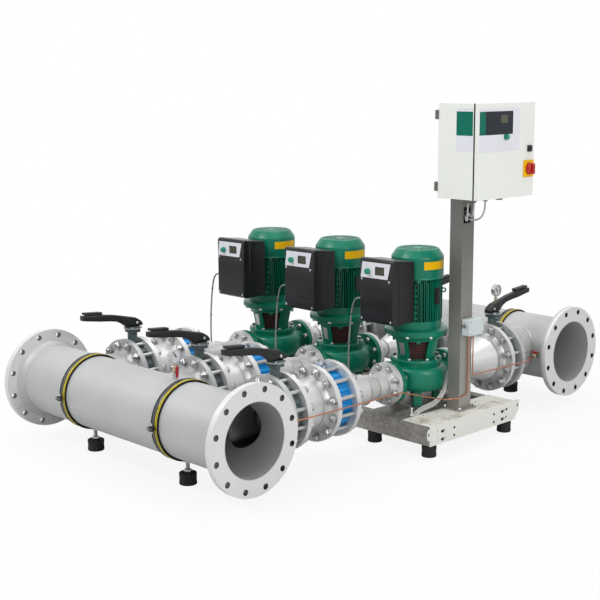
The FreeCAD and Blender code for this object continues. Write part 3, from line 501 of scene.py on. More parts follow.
# %% Grids and lathes
TURNS = {
    "+X": [[0, 0, 1], [0, 1, 0], [-1, 0, 0]], "-X": [[0, 0, -1], [0, 1, 0], [1, 0, 0]],
    "+Y": [[1, 0, 0], [0, 0, 1], [0, -1, 0]], "-Y": [[1, 0, 0], [0, 0, -1], [0, 1, 0]],
    "+Z": [[1, 0, 0], [0, 1, 0], [0, 0, 1]], "-Z": [[1, 0, 0], [0, -1, 0], [0, 0, -1]],
}


def grid(points, wrap_u=False, wrap_v=False):
    """Quads between neighbours of a (rows, columns, 3) grid; a wrapped side joins its last to its first."""
    rows, columns = points.shape[:2]
    index = np.arange(rows * columns).reshape(rows, columns)
    if wrap_u:
        index = np.vstack([index, index[:1]])
    if wrap_v:
        index = np.hstack([index, index[:, :1]])
    quads = np.stack([index[:-1, :-1], index[:-1, 1:], index[1:, 1:], index[1:, :-1]], -1)
    return points.reshape(-1, 3), [tuple(q) for q in quads.reshape(-1, 4)]


def capped(points):
    """A wrapped grid with its first and last row closed by one face each."""
    rows, n = points.shape[:2]
    shape, faces = grid(points, wrap_v=True)
    return shape, faces + [tuple(range(n)), tuple(range(n * (rows - 1), n * rows))]


def circle(steps):
    """Angles of a full turn in equal steps, the last one step short of the first."""
    return np.linspace(0, 2 * np.pi, steps, endpoint=False)


def lathe(profile, steps=48):
    """Point = (r cos t, r sin t, h) for each profile pair (r, h) and each angle t of a full turn."""
    r, h = np.array(profile, float).T
    t = circle(steps)
    points = np.stack([np.outer(r, np.cos(t)), np.outer(r, np.sin(t)), np.outer(h, np.ones(steps))], -1)
    return grid(points, wrap_v=True)


def spun(angle):
    """Matrix that turns row vectors by the angle, counter-clockwise seen from above."""
    a = math.radians(angle)
    return np.array([[math.cos(a), math.sin(a), 0], [-math.sin(a), math.cos(a), 0], [0, 0, 1]])


def put(shape, where, axis="+Z", spin=0.0):
    """Turns a shape from +Z to the axis, after a spin about its own axis, and moves it to its place."""
    points, faces = shape
    return points @ spun(spin) @ np.array(TURNS[axis], float).T + np.array(where, float), faces


def about(shape, angle):
    """Turns a shape about the upright axis through the origin."""
    return put(shape, (0, 0, 0), "+Z", angle)


def together(shapes):
    """One shape from several: points stacked, faces counted on from what stands before them."""
    points, faces, count = [], [], 0
    for p, f in shapes:
        points.append(p)
        faces += [tuple(int(i) + count for i in face) for face in f]
        count += len(p)
    return np.vstack(points), faces


# %% [markdown]
# Sheet and plate pieces are outlines carried along the third axis, and bolts stand on circles. Bars and
# hoops, the plainest lathes, come up so often that they get names of their own.

# %% Slabs, bars, hoops and circles
def slab(outline, plane, low, high):
    """An outline in the plane xy, yz or xz, carried from low to high along the third axis."""
    a, b = np.array(outline, float).T
    order = {"xy": (0, 1, 2), "yz": (1, 2, 0), "xz": (0, 2, 1)}[plane]
    points = np.zeros((2, len(a), 3))
    points[..., order[0]] = a
    points[..., order[1]] = b
    points[0, :, order[2]] = low
    points[1, :, order[2]] = high
    return capped(points)


def rect(a0, a1, b0, b1):
    """Four corners in order: along a from a0 to a1, then b from b0 to b1."""
    return [(a0, b0), (a1, b0), (a1, b1), (a0, b1)]


def box(low, high):
    """A plain box between its lowest and highest corner."""
    (x0, y0, z0), (x1, y1, z1) = low, high
    return slab(rect(x0, x1, y0, y1), "xy", z0, z1)


def bar(r, low, high, steps=20):
    """A round bar: radius r between two heights."""
    return lathe([(0, low), (r, low), (r, high), (0, high)], steps)


def hoop(inner, outer, low, high, steps=48):
    """A ring whose section is the rectangle between two radii and two heights."""
    return lathe(rect(inner, outer, low, high) + [(inner, low)], steps)


def pill(length, width, height, steps=16):
    """A slot's outline, two half circles apart, carried up by the height."""
    t = np.linspace(-np.pi / 2, np.pi / 2, steps)
    side = length / 2 - width / 2
    right = np.stack([side + width / 2 * np.cos(t), width / 2 * np.sin(t)], -1)
    return slab(np.vstack([right, -right]), "xy", 0, height)


def ring_of(count, radius, centre, axis, phase=0.0):
    """Centres spaced evenly on a circle round the axis."""
    t = np.radians(phase) + np.arange(count) * 2 * np.pi / count
    flat = np.stack([radius * np.cos(t), radius * np.sin(t), np.zeros(count)], -1)
    return flat @ np.array(TURNS[axis], float).T + np.array(centre, float)


def in_lanes(shapes, y=0.0, z=0.0):
    """Copies of all the shapes in every lane, at one distance from the front and one height."""
    return [put(shape, (x, y, z)) for x in lanes for shape in shapes]


# %% [markdown]
# A piece becomes a Blender object here. Its doubles are merged, so seams and poles close, its faces are
# turned outwards, and a bevel rounds its edges where the real piece is pressed, moulded or broken.

# %% Making a piece
def piece(name, shapes, finish, body="set", bevel=0.0, sharp=35.0, stands_for=()):
    """Makes an object of one shape or of a list of shapes; all of them take the same finish."""
    points, faces = together(shapes) if isinstance(shapes, list) else shapes
    mesh = bpy.data.meshes.new(name)
    mesh.from_pydata((points / 1000 + SHIFT).tolist(), [], faces)
    work = bmesh.new()
    work.from_mesh(mesh)
    bmesh.ops.remove_doubles(work, verts=work.verts, dist=1e-6)
    bmesh.ops.dissolve_degenerate(work, edges=work.edges, dist=1e-7)
    bmesh.ops.recalc_face_normals(work, faces=work.faces)
    work.to_mesh(mesh)
    work.free()
    mesh.shade_smooth()
    mesh.set_sharp_from_angle(angle=math.radians(sharp))
    made = bpy.data.objects.new(name, mesh)
    bpy.context.scene.collection.objects.link(made)
    if bevel:
        rounding = made.modifiers.new("Rounding", "BEVEL")
        rounding.width = bevel / 1000
        rounding.segments = 3
        rounding.limit_method = "ANGLE"
        rounding.angle_limit = math.radians(40)
    if stands_for:
        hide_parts(*stands_for)
    print(name, "has", len(mesh.vertices), "points")
    return dressed(made, finish, body)


# %% [markdown]
# ## Bolts
# Wafer valves have no flanges of their own. Long studs pass outside them from one pipe flange to the
# next, twelve to a joint, with a nut and washer at each end. That cage of studs is what the eye meets
# first, so the solids' four plain studs give way to all twelve.

# %% Studs, nuts and washers
def nut(width, height):
    """Six-sided lathe with both rims broken: radius drops to 92% at the faces."""
    r = width / 2 / math.cos(math.pi / 6)
    profile = [(0, 0), (r * 0.92, 0), (r, height * 0.14), (r, height * 0.86), (r * 0.92, height), (0, height)]
    return lathe(profile, 6)


def stud_end(r, length):
    """A threaded end: the radius goes up and down along its length, with a small chamfer."""
    turns = 5
    h = np.linspace(0, length * 0.85, 2 * turns)
    rr = r - 0.7 * (np.arange(2 * turns) % 2)
    return lathe([(0, 0)] + list(zip(rr, h)) + [(r * 0.7, length), (0, length)], 12)


def bolted(x, ends, count, radius, phase, size, thick=4.0):
    """Rings of washers, nuts and stud ends that stand out along Y from both ends of a joint."""
    shapes = []
    for axis, y in zip(("-Y", "+Y"), ends):
        way = np.array(TURNS[axis], float)[:, 2]
        for k, c in enumerate(ring_of(count, radius, (x, y, pipe_z), axis, phase)):
            shapes.append(put(bar(size, 0, thick), c, axis))
            shapes.append(put(nut(size * 1.55, size * 0.85), c + way * thick, axis, 17.0 * k))
            shapes.append(put(stud_end(size / 2, size * 0.35), c + way * (thick + size * 0.85), axis))
    return shapes


# %% Tie bolts of the lanes
stud_size, lane_circle, valve_half, flange_t = 20.0, 147.5, 30.0, 24.0
check_low, check_high = (corner[1] for corner in corners("check_valve_bodies"))
front_valve, rear_valve = ((y - valve_half, y + valve_half) for y in valve_ys.values())
shafts, nuts = [], []
for x in lanes:
    for low, high in (front_valve, (check_low, check_high), rear_valve):
        shaft = bar(stud_size / 2, 0, high - low, 16)
        shafts += [put(shaft, c, "+Y") for c in ring_of(12, lane_circle, (x, low, pipe_z), "+Y", 15)]
        nuts += bolted(x, (low - flange_t, high + flange_t), 12, lane_circle, 15, stud_size)
piece("tie_bolts", shafts, "stud_zinc", stands_for=("tie_studs",))
piece("tie_nuts", nuts, "stud_zinc")

# %% [markdown]
# The pumps' ports are bolted to the small flanges with eight shorter bolts each. A dark gasket shows as
# a fine line between the two flanges, so it is a ring of its own, a little smaller than they are.

# %% Port bolts and gaskets
port_circle, port_bolt, port_thick = 80.0, 16.0, 22.5
front_port, back_port = pump_y - 200, pump_y + 200
gasket = hoop(45, 97, 0, 1.8)
port_nuts, gaskets = [], []
for x in lanes:
    for y in (front_port, back_port):
        port_nuts += bolted(x, (y - port_thick, y + port_thick), 8, port_circle, 22.5, port_bolt, 3)
    gaskets += [put(gasket, (x, y, pipe_z), "+Y") for y in (front_port - 1.9, back_port + 0.1)]
piece("port_nuts", port_nuts, "stud_zinc")
piece("port_gaskets", gaskets, "lining_black")
print("studs", len(shafts), "nuts", (len(nuts) + len(port_nuts)) // 3)

# %% [markdown]
# ## Welds
# Where a pipe meets a flange the welder leaves a round bead. A branch on a header has a saddle seam:
# the line where two crossing cylinders meet. With branch radius b and header radius R, the point at
# angle t is (b cos t, sqrt(R^2 - b^2 sin^2 t), b sin t), and the bead is a ripple-edged tube along it.

# %% Weld beads
def bead_ring(r, width, centre, axis, steps=96):
    """A torus whose section is a flat circle: radius r + w cos a, height 0.6 w sin a."""
    a = circle(8)
    points = np.stack([r + width * np.cos(a), 0.6 * width * np.sin(a)], -1)
    return put(lathe(np.vstack([points, points[:1]]), steps), centre, axis)


def unit(vectors):
    """Each row over its own length."""
    return vectors / np.linalg.norm(vectors, axis=1)[:, None]


def saddle(x, axis_y, toward, branch_r, width):
    """Tube round the saddle line; its section lies across the line's own direction."""
    t, a = circle(120), circle(8)[None, :, None]
    base = np.stack([branch_r * np.cos(t), np.sqrt(header_r ** 2 - (branch_r * np.sin(t)) ** 2),
                     branch_r * np.sin(t)], -1)
    tangent = unit(np.roll(base, -1, 0) - np.roll(base, 1, 0))
    outward = np.stack([np.cos(t), np.zeros(120), np.sin(t)], -1)
    outward = unit(outward - tangent * (outward * tangent).sum(1)[:, None])
    side = np.cross(tangent, outward)
    ripple = width * (1 + 0.10 * np.sin(40 * t))[:, None, None]
    points = base[:, None] + ripple * (outward[:, None] * np.cos(a) + side[:, None] * np.sin(a))
    points[..., 1] *= toward
    return grid(points + np.array([x, axis_y, pipe_z]), True, True)


# %% [markdown]
# Behind each end flange of a header the pipe swells in a smooth collar with one more bead at its foot.
# The flange's bolt holes go right through, and a thin dark sleeve in each gives it its shade.

# %% Beads, collars and the shade in the headers' bolt holes
bead_places = [(861.0, 69.9), (931.0, 57.3), (1560.0, 44.6), (1740.0, lane_pipe_r - 0.3)]
beads = []
for x in lanes:
    beads += [saddle(x, 0.0, 1, lane_pipe_r, 4.5), saddle(x, suction_y, -1, lane_pipe_r, 4.5)]
    beads += [bead_ring(r, 2.6, (x, y, pipe_z), "+Y") for y, r in bead_places]
end_flange, collar_l, header_circle = 28.0, 40.0, 205
collar = [(161, 0), (183, 0), (183, 1.5), (177, 4.5), (171.5, 9), (167.5, 16), (164.6, 26), (162.8, 36),
          (162.3, collar_l), (161, collar_l), (161, 0)]
sleeve = hoop(12.6, 12.9, 0.5, 27.5, 24)
collars, sleeves = [], []
for side, y in header_ys.items():
    low_x, high_x = (corner[0] for corner in corners(f"{side}_header"))
    for x, way, step in ((low_x + end_flange, "+X", 1), (high_x - end_flange, "-X", -1)):
        collars.append(put(lathe(collar, 128), (x, y, pipe_z), way))
        beads.append(bead_ring(header_r, 2.2, (x + step * collar_l, y, pipe_z), "+X", 128))
    for x in (low_x, high_x - end_flange):
        sleeves += [put(sleeve, c, "+X") for c in ring_of(12, header_circle, (x, y, pipe_z), "+X", 15)]
piece("weld_beads", beads, "weld")
piece("header_collars", collars, "pipe_steel", sharp=60)
piece("header_hole_shade", sleeves, "strap_zinc")
print("beads", len(beads), "bolt holes", len(sleeves))

# %% [markdown]
# A weld-neck flange doesn't end square on its pipe: a short hub slopes down to the pipe's thickness.
# The hub is a lathe whose radius falls from the flange's back to the weld with a small fillet.

# %% Weld necks
hub_rise, hub_length = 13.0, 27.0


def weld_neck(x, y, way, r):
    """Profile: r + 13 at the flange, a fillet, then a straight slope to the pipe and a bead at its foot."""
    slope = [(r - 1, 0), (r + hub_rise + 3, 0), (r + hub_rise, 3), (r + hub_rise - 1, 6),
             (r + 2, hub_length - 4), (r + 2.6, hub_length - 2), (r + 2.2, hub_length),
             (r - 1, hub_length + 1), (r - 1, 0)]
    return put(lathe(slope, 96), (x, y, pipe_z), way)


neck_ends = [(front_valve[0] - flange_t, "-Y", lane_pipe_r), (front_valve[1] + flange_t, "+Y", lane_pipe_r),
             (check_low - flange_t, "-Y", lane_pipe_r), (check_high + flange_t, "+Y", 70.0),
             (front_port - port_thick, "-Y", 57.15), (back_port + port_thick, "+Y", 44.45),
             (rear_valve[0] - flange_t, "-Y", lane_pipe_r), (rear_valve[1] + flange_t, "+Y", lane_pipe_r)]
piece("weld_necks", [weld_neck(x, *end) for x in lanes for end in neck_ends], "lane_steel", sharp=50)

# %% [markdown]
# ## Valve tops
# Each butterfly valve is worked by a bowed hand lever that rises from its neck. Its section is a
# rounded rectangle that changes along the arm, so it is a loft: at distance s from the stem the top and
# bottom edges come from two curves, and a superellipse gives the rounding.

# %% Levers
lever_top = [(-47, 517), (-38, 530), (-13, 546), (55, 562), (111, 575), (166, 583), (230, 589), (284, 593)]
lever_low = [(-47, 504.6), (38, 504.6), (45, 511), (67, 527), (95, 540), (139, 547.5), (193, 554), (284, 569)]
lever_half = [(-47, 19), (20, 19), (70, 14), (150, 14), (200, 17), (284, 17)]


def curved(wave, power):
    """A wave with its size raised to a power and its sign kept: sign(w) |w|^p."""
    return np.sign(wave) * np.abs(wave) ** power


def lever(x, stem_y, toward):
    """Loft: centre and half height follow the two edge curves, half width 14 to 19 with a slim waist."""
    s = np.concatenate([[-47.0], np.linspace(-46, 283, 70), [284.0]])
    edges = (lever_top, lever_low, lever_half)
    top, low, half_w = (np.interp(s, *np.array(edge, float).T) for edge in edges)
    rounding = np.ones(len(s))
    rounding[[0, -1]] = 0.90
    a = circle(28)
    points = np.empty((len(s), len(a), 3))
    points[..., 0] = x + (half_w * rounding)[:, None] * curved(np.cos(a), 0.4)
    points[..., 1] = stem_y + toward * s[:, None]
    half_h = (top - low) / 2 * rounding
    points[..., 2] = ((top + low) / 2)[:, None] + half_h[:, None] * curved(np.sin(a), 0.4)
    return capped(points)


dome = lathe([(0, 0), (7.5, 0), (7.5, 2), (5.5, 4.5), (0, 5.5)], 20)
for i, x in enumerate(lanes, 1):
    for side, toward in (("discharge", -1), ("suction", 1)):
        y, body = valve_ys[side], f"{side}_valve_{i}"
        arm = lever(x, y, toward)
        piece(f"{side}_lever_arm_{i}", arm, "lever_black", body, stands_for=(f"{side}_lever_{i}",))
        caps = [put(dome, (x + sx * 18.6, y - toward * 14, 521), way) for sx, way in ((-1, "-X"), (1, "+X"))]
        piece(f"{side}_lever_screws_{i}", caps, "stud_zinc", body)

# %% [markdown]
# Under each lever sits the notch plate that holds it open, half open or shut. Its rim is a radius that
# steps in and out with the angle, and below it the square-cornered neck of the valve body carries a
# small flange with four nuts. Lugs stand on the wafer's rim between the studs.

# %% Notch plates, neck flanges and wafer ribs
def rimmed(rim, rows):
    """Rows of (share of the rim's radius, height) round a rim whose radius changes with the angle."""
    t = circle(len(rim))
    flat = np.stack([rim * np.cos(t), rim * np.sin(t), np.zeros(len(rim))], -1)
    return grid(np.stack([flat * share + np.array([0, 0, h]) for share, h in rows]), wrap_v=True)


notched = np.where(np.arange(104) % 4 < 2, 43, 39.5)
notch_plate = rimmed(notched, [(0, 0), (1, 0), (1, 5), (0, 5)])
lug = box((132.5, -11, -24), (139.5, 11, 24))
plates, neck_plates, ribs = [], [], []
for x in lanes:
    for y in valve_ys.values():
        plates.append(put(notch_plate, (x, y, 494.5)))
        plates += [put(nut(13, 4.6), (x + sx * 21, y + sy * 18, 499.4)) for sx in (-1, 1) for sy in (-1, 1)]
        neck_plates.append(box((x - 29, y - 26, 476), (x + 29, y + 26, 489.6)))
        ribs += [put(about(lug, angle), (x, y, pipe_z), "+Y")
                 for angle in range(0, 360, 30) if angle != 90]
piece("notch_plates", plates, "stud_zinc", sharp=25)
piece("neck_flanges", neck_plates, "valve_grey", bevel=3)
piece("wafer_ribs", ribs, "valve_grey", bevel=3)

# %% [markdown]
# The check valve's ring is cast with a rounded lobe between each pair of studs, so seen from the side
# its blue wall swells and dips. Each lobe is a half-round bar with domed ends.

# %% Check valve lobes
reach, check_y = (check_high - check_low) / 2 - 6, (check_low + check_high) / 2
lobe = lathe([(0, -reach), (9, -reach), (13.5, 5 - reach), (13.5, reach - 5), (9, reach), (0, reach)], 20)
lobes = [put(lobe, c, "+Y") for x in lanes for c in ring_of(12, 127.0, (x, check_y, pipe_z), "+Y", 0)]
piece("check_valve_lobes", lobes, "check_blue", sharp=50)
rings = [put(hoop(12.6, 22.4, -4.9, 4.9, 40), (x, check_y, 431), "+X") for x in lanes]
piece("check_valve_rings", rings, "stud_zinc", bevel=1.2)

# %% [markdown]
# ## Pumps
# The solids give the casing a plain turned bulge. The real volute is a cast scroll: it swells toward
# the outlet. Its skin is r(t, a) = offset circle + superellipse bulge, laid over the solid one.

# %% Volutes
volute_z = 284.0


def volute(offset=9.0, wide=138.5, core=100.0):
    """Radius = core + (offset circle - core) cos(a)^0.5, height = 57 sin(a)^0.85, a from -90 to 90."""
    t = circle(96)
    a = np.linspace(-np.pi / 2, np.pi / 2, 25)[:, None]
    rim = offset * np.cos(t) + np.sqrt(wide ** 2 - (offset * np.sin(t)) ** 2)
    r = core + (rim - core) * np.cos(a) ** 0.50
    height = 57.0 * curved(np.sin(a), 0.85)
    points = np.stack([r * np.cos(t), r * np.sin(t), volute_z + height * np.ones(96)], -1)
    return grid(points, wrap_v=True)


foot_side = [(78, 158.6), (124, 158.6), (124, 168), (114, 176), (108, 240), (78, 240)]
bowl = [(0, 210.5), (50, 211.5), (75, 217), (97, 229), (108, 242), (108, 246), (0, 246)]
lip = [(96, 326), (112, 332), (114, 340), (113, 350), (118, 356), (119.5, 360), (119.5, 368), (117.5, 372.4),
       (98.6, 372.6), (96, 326)]
flare = [(59.5, 118), (59.5, 138), (61, 150), (65, 160), (74, 168), (92, 174), (99.4, 177.4), (57, 177.4),
         (57, 118), (59.5, 118)]
flares = [put(lathe(flare, 64), (0, 0, pipe_z), way) for way in ("-Y", "+Y")]
foot = slab(foot_side, "xz", -20, 20)
feet = [about(foot, 45 + 90 * k) for k in range(4)]
piece("volutes", in_lanes([volute()], pump_y), "pump_green", sharp=60)
piece("casing_bowls", in_lanes([lathe(bowl, 64), lathe(lip, 64), *flares], pump_y), "pump_green", sharp=50)
piece("pump_feet", in_lanes(feet, pump_y), "pump_green", bevel=4)

# %% [markdown]
# The lantern opens like a bell toward the motor: a plate, four legs that lean out, and a flared ring.
# A leg is a part of a cone between two angles, so its section is an arc out and a shorter arc back.

# %% Lanterns
bell_low, bell_high, leg_wall, shaft_gap = 372.0, 467.0, 11.0, 14.05


def lantern_leg(angle):
    """Outer radius = 92 + 21 s^1.3 and half angle = 21 - 4 s degrees, s being the share of the height."""
    s = np.linspace(0, 1, 12)[:, None]
    outer = 92 + 21 * s ** 1.3
    turn = np.linspace(-1, 1, 13)
    t = math.radians(angle) + np.radians(21 - 4 * s) * np.hstack([turn, turn[::-1]])
    r = np.hstack([outer * np.ones(13), (outer - leg_wall) * np.ones(13)])
    z = bell_low - 4 + (bell_high - bell_low + 4) * s * np.ones(26)
    return capped(np.stack([r * np.cos(t), r * np.sin(t), z], -1))


bell_foot = [(shaft_gap, 360.2), (115.8, 360.2), (115.8, 370), (114, 372), (shaft_gap, 372),
             (shaft_gap, 360.2)]
bell_ring = [(86, 463), (112.6, 463), (114, 468), (119, 474), (130, 480), (137.8, 483), (137.8, 490.8),
             (shaft_gap, 490.8), (shaft_gap, 484), (86, 484), (86, 463)]
bell = [lathe(bell_foot, 80), lathe(bell_ring, 80)] + [lantern_leg(angle) for angle in range(0, 360, 90)]
piece("lantern_bells", in_lanes(bell, pump_y), "pump_green", sharp=40, stands_for=("lanterns",))

# %% [markdown]
# The joints above and below the lantern are closed by rings of screws. A plain plate sits on the
# lantern's front leg. Each window has a cast drip nose at the middle of its top edge, a small V.

# %% Screws, plates and window noses
window_top, nose_depth = 467.6, 17.0
screws = [put(nut(15, 9), c) for c in ring_of(8, 109, (0, 0, 372.4), "+Z", 22.5)]
screws += [put(nut(17, 10), c, "-Z") for c in ring_of(8, 139, (0, 0, 491.2), "-Z", 22.5)]
leg_plate = slab([(-97.0, 392), (-110.8, 452), (-107.5, 452), (-93.5, 392)], "yz", -14, 14)
nose_bottom = window_top - nose_depth
nose = slab([(-15, window_top), (15, window_top), (4, nose_bottom), (-4, nose_bottom)], "yz", 101, 112.4)
noses = [about(nose, 45 + 90 * k) for k in range(4)]
piece("casing_screws", in_lanes(screws, pump_y), "stud_zinc")
piece("lantern_plates", in_lanes([leg_plate], pump_y), "stud_zinc", bevel=0.8)
piece("window_noses", in_lanes(noses, pump_y), "pump_green", bevel=2)

# %% [markdown]
# ## Motors
# The stator frame is cast with thin cooling fins all round, three to every one of the solids' fins.
# Beside the converter a column of lugs takes the box's screws, and a lifting eye stands at one side.

# %% Fins, lugs and lifting eyes
fin_low, fin_high, core_r, fin_r = 556.6, 750.0, 93.6, 117.6
fin_pitch, box_gap, eye_z = 5.0, 41.0, 696
fin = slab([(core_r, fin_low), (fin_r - 3, fin_low), (fin_r, fin_low + 6), (fin_r, fin_high - 6),
            (fin_r - 3, fin_high), (core_r, fin_high)], "xz", -1.1, 1.1)
turns = [2.5 + fin_pitch * k for k in range(72) if k % 3 != 1]
fins = [about(fin, angle) for angle in turns if abs(angle - 270) > box_gap]
lug = lathe([(0, 92), (9, 92), (8, 112), (6, 116), (0, 117)], 16)
for angle in (270 - 37, 270 + 37):
    fins += [about(put(lug, (0, 0, z), "+X"), angle) for z in np.arange(574, 730, 26.0)]
a = np.linspace(0, 2 * np.pi, 9)
eye_ring = lathe(np.stack([9 + 3.4 * np.cos(a), 3.4 * np.sin(a)], -1), 32)
eye_stem = lathe([(0, 90), (8, 90), (8, 114), (5, 119), (0, 119)], 20)
eye = together([put(eye_ring, (127, 0, eye_z), "+Y"), put(eye_stem, (0, 0, eye_z), "+X")])
piece("motor_fins", in_lanes(fins, pump_y), "pump_green", sharp=30)
piece("lifting_eyes", in_lanes([about(eye, 25)], pump_y), "pump_green", sharp=50)
print("fins and lugs of a motor", len(fins))

# %% [markdown]
# The fan cover is drawn from sheet: a skirt with a rolled bead, a sloped shoulder and a flat top. Air
# enters through rings of short slots in the top. The cover is a lathe that stops at the grille, and
# the grille is a set of rings crossed by bars, so the slots are truly open.

# %% Fan covers with their grilles
cover_top, grille_r = 888.6, 88.0
skirt = [(119.2, 752.2), (121.8, 752.2), (121.8, 756), (120.8, 758), (120.8, 762), (121.8, 764), (121.8, 849),
         (121.2, 853), (119, 857), (101, 883), (98, 886.6), (94, cover_top - 0.2), (grille_r, cover_top),
         (grille_r, cover_top - 2.6), (96, cover_top - 3.4), (117, 852), (119.2, 846), (119.2, 752.2)]
cover = [lathe(skirt, 96), bar(24, cover_top - 2.4, cover_top, 40)]
cover += [hoop(r, r + 5.4, cover_top - 2.4, cover_top, 64) for r in (79, 67, 55, 43, 31)]
spoke = box((22, -2.2, cover_top - 2.2), (90, 2.2, cover_top - 0.1))
cover += [about(spoke, 30 * k + 15) for k in range(12)]
piece("fan_cover_skins", in_lanes(cover, pump_y), "pump_green", sharp=30, stands_for=("fan_covers",))
# A near-black disc below the grille is painted shade inside the cover.
piece("fan_cover_inner_shade", in_lanes([bar(115, 852, 854, 48)], pump_y), "painted_hole_shade")

# %% [markdown]
# A plain band of yellow runs part of the way round each fan cover, and a small dark plate sits on the
# fins. Both are patches of a slightly larger cylinder, over the angles where they lie.

# %% Curved stickers on the motor
def wrap_strip(r, thick, start, stop, low, high):
    """A patch of cylinder between two angles and two heights, with its thickness."""
    t = np.radians(np.linspace(start, stop, 24))
    corners_of = rect(r, r + thick, low, high) + [(r, low)]
    rows = [np.stack([rr * np.cos(t), rr * np.sin(t), np.full(24, float(z))], -1) for rr, z in corners_of]
    shape, faces = grid(np.stack(rows))
    return shape, faces + [(0, 24, 48, 72), (23, 95, 71, 47)]


piece("motor_bands", in_lanes([wrap_strip(121.7, 0.5, -35, 30, 799, 836)], pump_y), "label_yellow")
motor_plate = wrap_strip(116.8, 3.2, -7, 11, 636, 711)
piece("motor_plates", in_lanes([motor_plate], pump_y), "lever_black", bevel=0.6)

# %% [markdown]
# ## Converters
# The black box in front of each motor is a moulded housing with a sloped label that carries the
# display and the green knob. Its lid is a separate shell, so a fine seam runs round the box near the
# front, and its front edges are soft.

# %% Converter housings
front_y = corners("converters")[0][1]
seam_y, rear_y, half_box = front_y + 45, 1103.0, 99.6


def box_slice(side, inset=0.0):
    """A side view of (Y, Z) points carried across the width of the box, less an inset at both ends."""
    return slab(side, "yz", inset - half_box, half_box - inset)


lid_side = [(front_y + 0.3, 586), (front_y + 3, 575), (front_y + 12, 568), (seam_y - 0.8, 564),
            (seam_y - 0.8, 860), (front_y + 14, 863.6), (front_y + 5, 861), (front_y + 0.3, 852)]
lid = box_slice(lid_side)
back_side = [(seam_y + 0.8, 566), (rear_y, 570), (rear_y, 848), (seam_y + 0.8, 858)]
backs = [box_slice(back_side, 0.6), box_slice(rect(seam_y - 3, seam_y + 3, 570, 854), 3)]

# %% [markdown]
# What lies on the box is made once, with x counted from the lane's middle, and then copied to every lane.
# A bracket stands behind the box, and the pump's lead leaves through the gland at its side.

# %% Label, display, screws, ribs and bracket of a converter
label = slab([(-84, 846), (86, 848), (68, 776), (-95, 774)], "xz", front_y - 0.5, front_y + 1)
display = slab([(-3, 795), (45, 796), (44, 826), (-2, 825)], "xz", front_y - 1.4, front_y)
rim = slab([(-7, 791), (49, 792), (48, 830), (-6, 829)], "xz", front_y - 1.0, front_y)
cap = lathe([(0, 0), (5.5, 0), (5.5, 1.4), (4.4, 2.2), (2.2, 2.2), (1.8, 1.0), (0, 1.0)], 20)
caps = [put(cap, (x, front_y + 0.5, z), "-Y") for x, z in ((-88, 584), (88, 584), (-88, 766), (78, 766))]
side_ribs = [box((edge, rear_y - 30, z), (edge + 1.4, rear_y - 2, z + 9))
             for z in np.arange(590, 836, 22.0) for edge in (-half_box, half_box - 1.4)]
gland = lathe([(0, 0), (11, 0), (11, 7), (8.5, 9), (8.5, 15), (6, 18), (0, 18)], 24)
bracket = [slab(rect(-42, 42, 628, 724), "xz", 1101, 1150), put(gland, (-100, 985, 668), "-X")]
converter_items = (
    ("lids", [lid], "converter_black", 5.0), ("backs", backs, "converter_black", 3.0),
    ("labels", [label], "label_white", 0.4), ("displays", [display], "display", 0.4),
    ("rims", [rim], "lever_black", 0.4), ("screws", caps, "stud_zinc", 0.0),
    ("side_ribs", side_ribs, "converter_black", 0.5),
)
for name, shapes, finish_name, bevel in converter_items:
    piece(f"converter_{name}", in_lanes(shapes), finish_name, bevel=bevel)
piece("converter_brackets", in_lanes(bracket), "converter_black", bevel=3, stands_for=("converters",))

# %% [markdown]
# Cable ties hold each pump's lead to itself where it hangs. A tie is a short ring round the lead, set
# at points read from the lead's own curve.

# %% Cable ties
def tie(centre, along, r, width):
    """A ring round a line: two directions across it span the circle, the third gives the width."""
    along = along / np.linalg.norm(along)
    side = np.cross(along, [0.0, 1.0, 0.0])
    side /= np.linalg.norm(side)
    points, faces = hoop(r - 1.2, r, -width, width, 16)
    return points @ np.stack([side, np.cross(along, side), along]) + centre, faces


ties = []
for lead in pump_leads:
    co = (spline_points(lead) - SHIFT) * 1000
    for share in (0.38, 0.60, 0.86):
        k = int(share * (len(co) - 2))
        ties.append(tie(co[k], co[k + 1] - co[k], lead_r + 1.3, 2.2))
piece("cable_ties", ties, "lever_black")

# %% [markdown]
# ## Headers' clamps and feet
# A lined band clamp holds each header. Its dark steel strap lies between two black lips of the lining,
# and bright yellow threads are woven into the lip that faces the right end.

# %% Clamps
painted("thread_yellow", (0.85, 0.68, 0.02), 0.94, 0.42, 700, 0.05)
clamp_xs = {"discharge": (-423.0, -1089.0), "suction": (-382.0, -1048.0)}
clamp_places = [(x, y) for side, y in header_ys.items() for x in clamp_xs[side]]
strap = [(169.0, -14), (170.6, -14), (171.3, -12.5), (171.3, 2.5), (170.6, 4), (169.0, 4), (169.0, -14)]
clamp_lip = [(162.6, -21), (170.0, -21), (171.9, -19), (171.9, -15), (170.3, -14), (168.6, -13.6),
             (168.6, 3.6), (170.3, 4.4), (171.6, 6), (171.6, 19), (170.0, 21), (162.6, 21), (162.6, -21)]
threads = [[(170.0, low), (172.4, low + 0.5), (172.4, high - 0.5), (170.0, high), (170.0, low)]
           for low, high in ((8.0, 12.5), (16.0, 19.0))]
clamp_items = (("clamp_bands", [strap], "strap_zinc"), ("clamp_threads", threads, "thread_yellow"),
               ("clamp_lips", [clamp_lip], "lining_black"))
for name, profiles, finish_name in clamp_items:
    hoops = [put(lathe(profile, 128), (0, 0, pipe_z), "+X") for profile in profiles]
    piece(name, [put(shape, (*place, 0)) for place in clamp_places for shape in hoops], finish_name)
ear_bolt = [bar(5, -24, 24, 16), put(nut(17, 7), (0, 0, 12)), put(nut(17, 7), (0, 0, -19))]
ear_reach = 185
ears = [(x, y + sy * ear_reach, pipe_z) for x, y in clamp_places for sy in (-1, 1)]
piece("clamp_bolts", [put(shape, ear) for ear in ears for shape in ear_bolt], "stud_zinc")

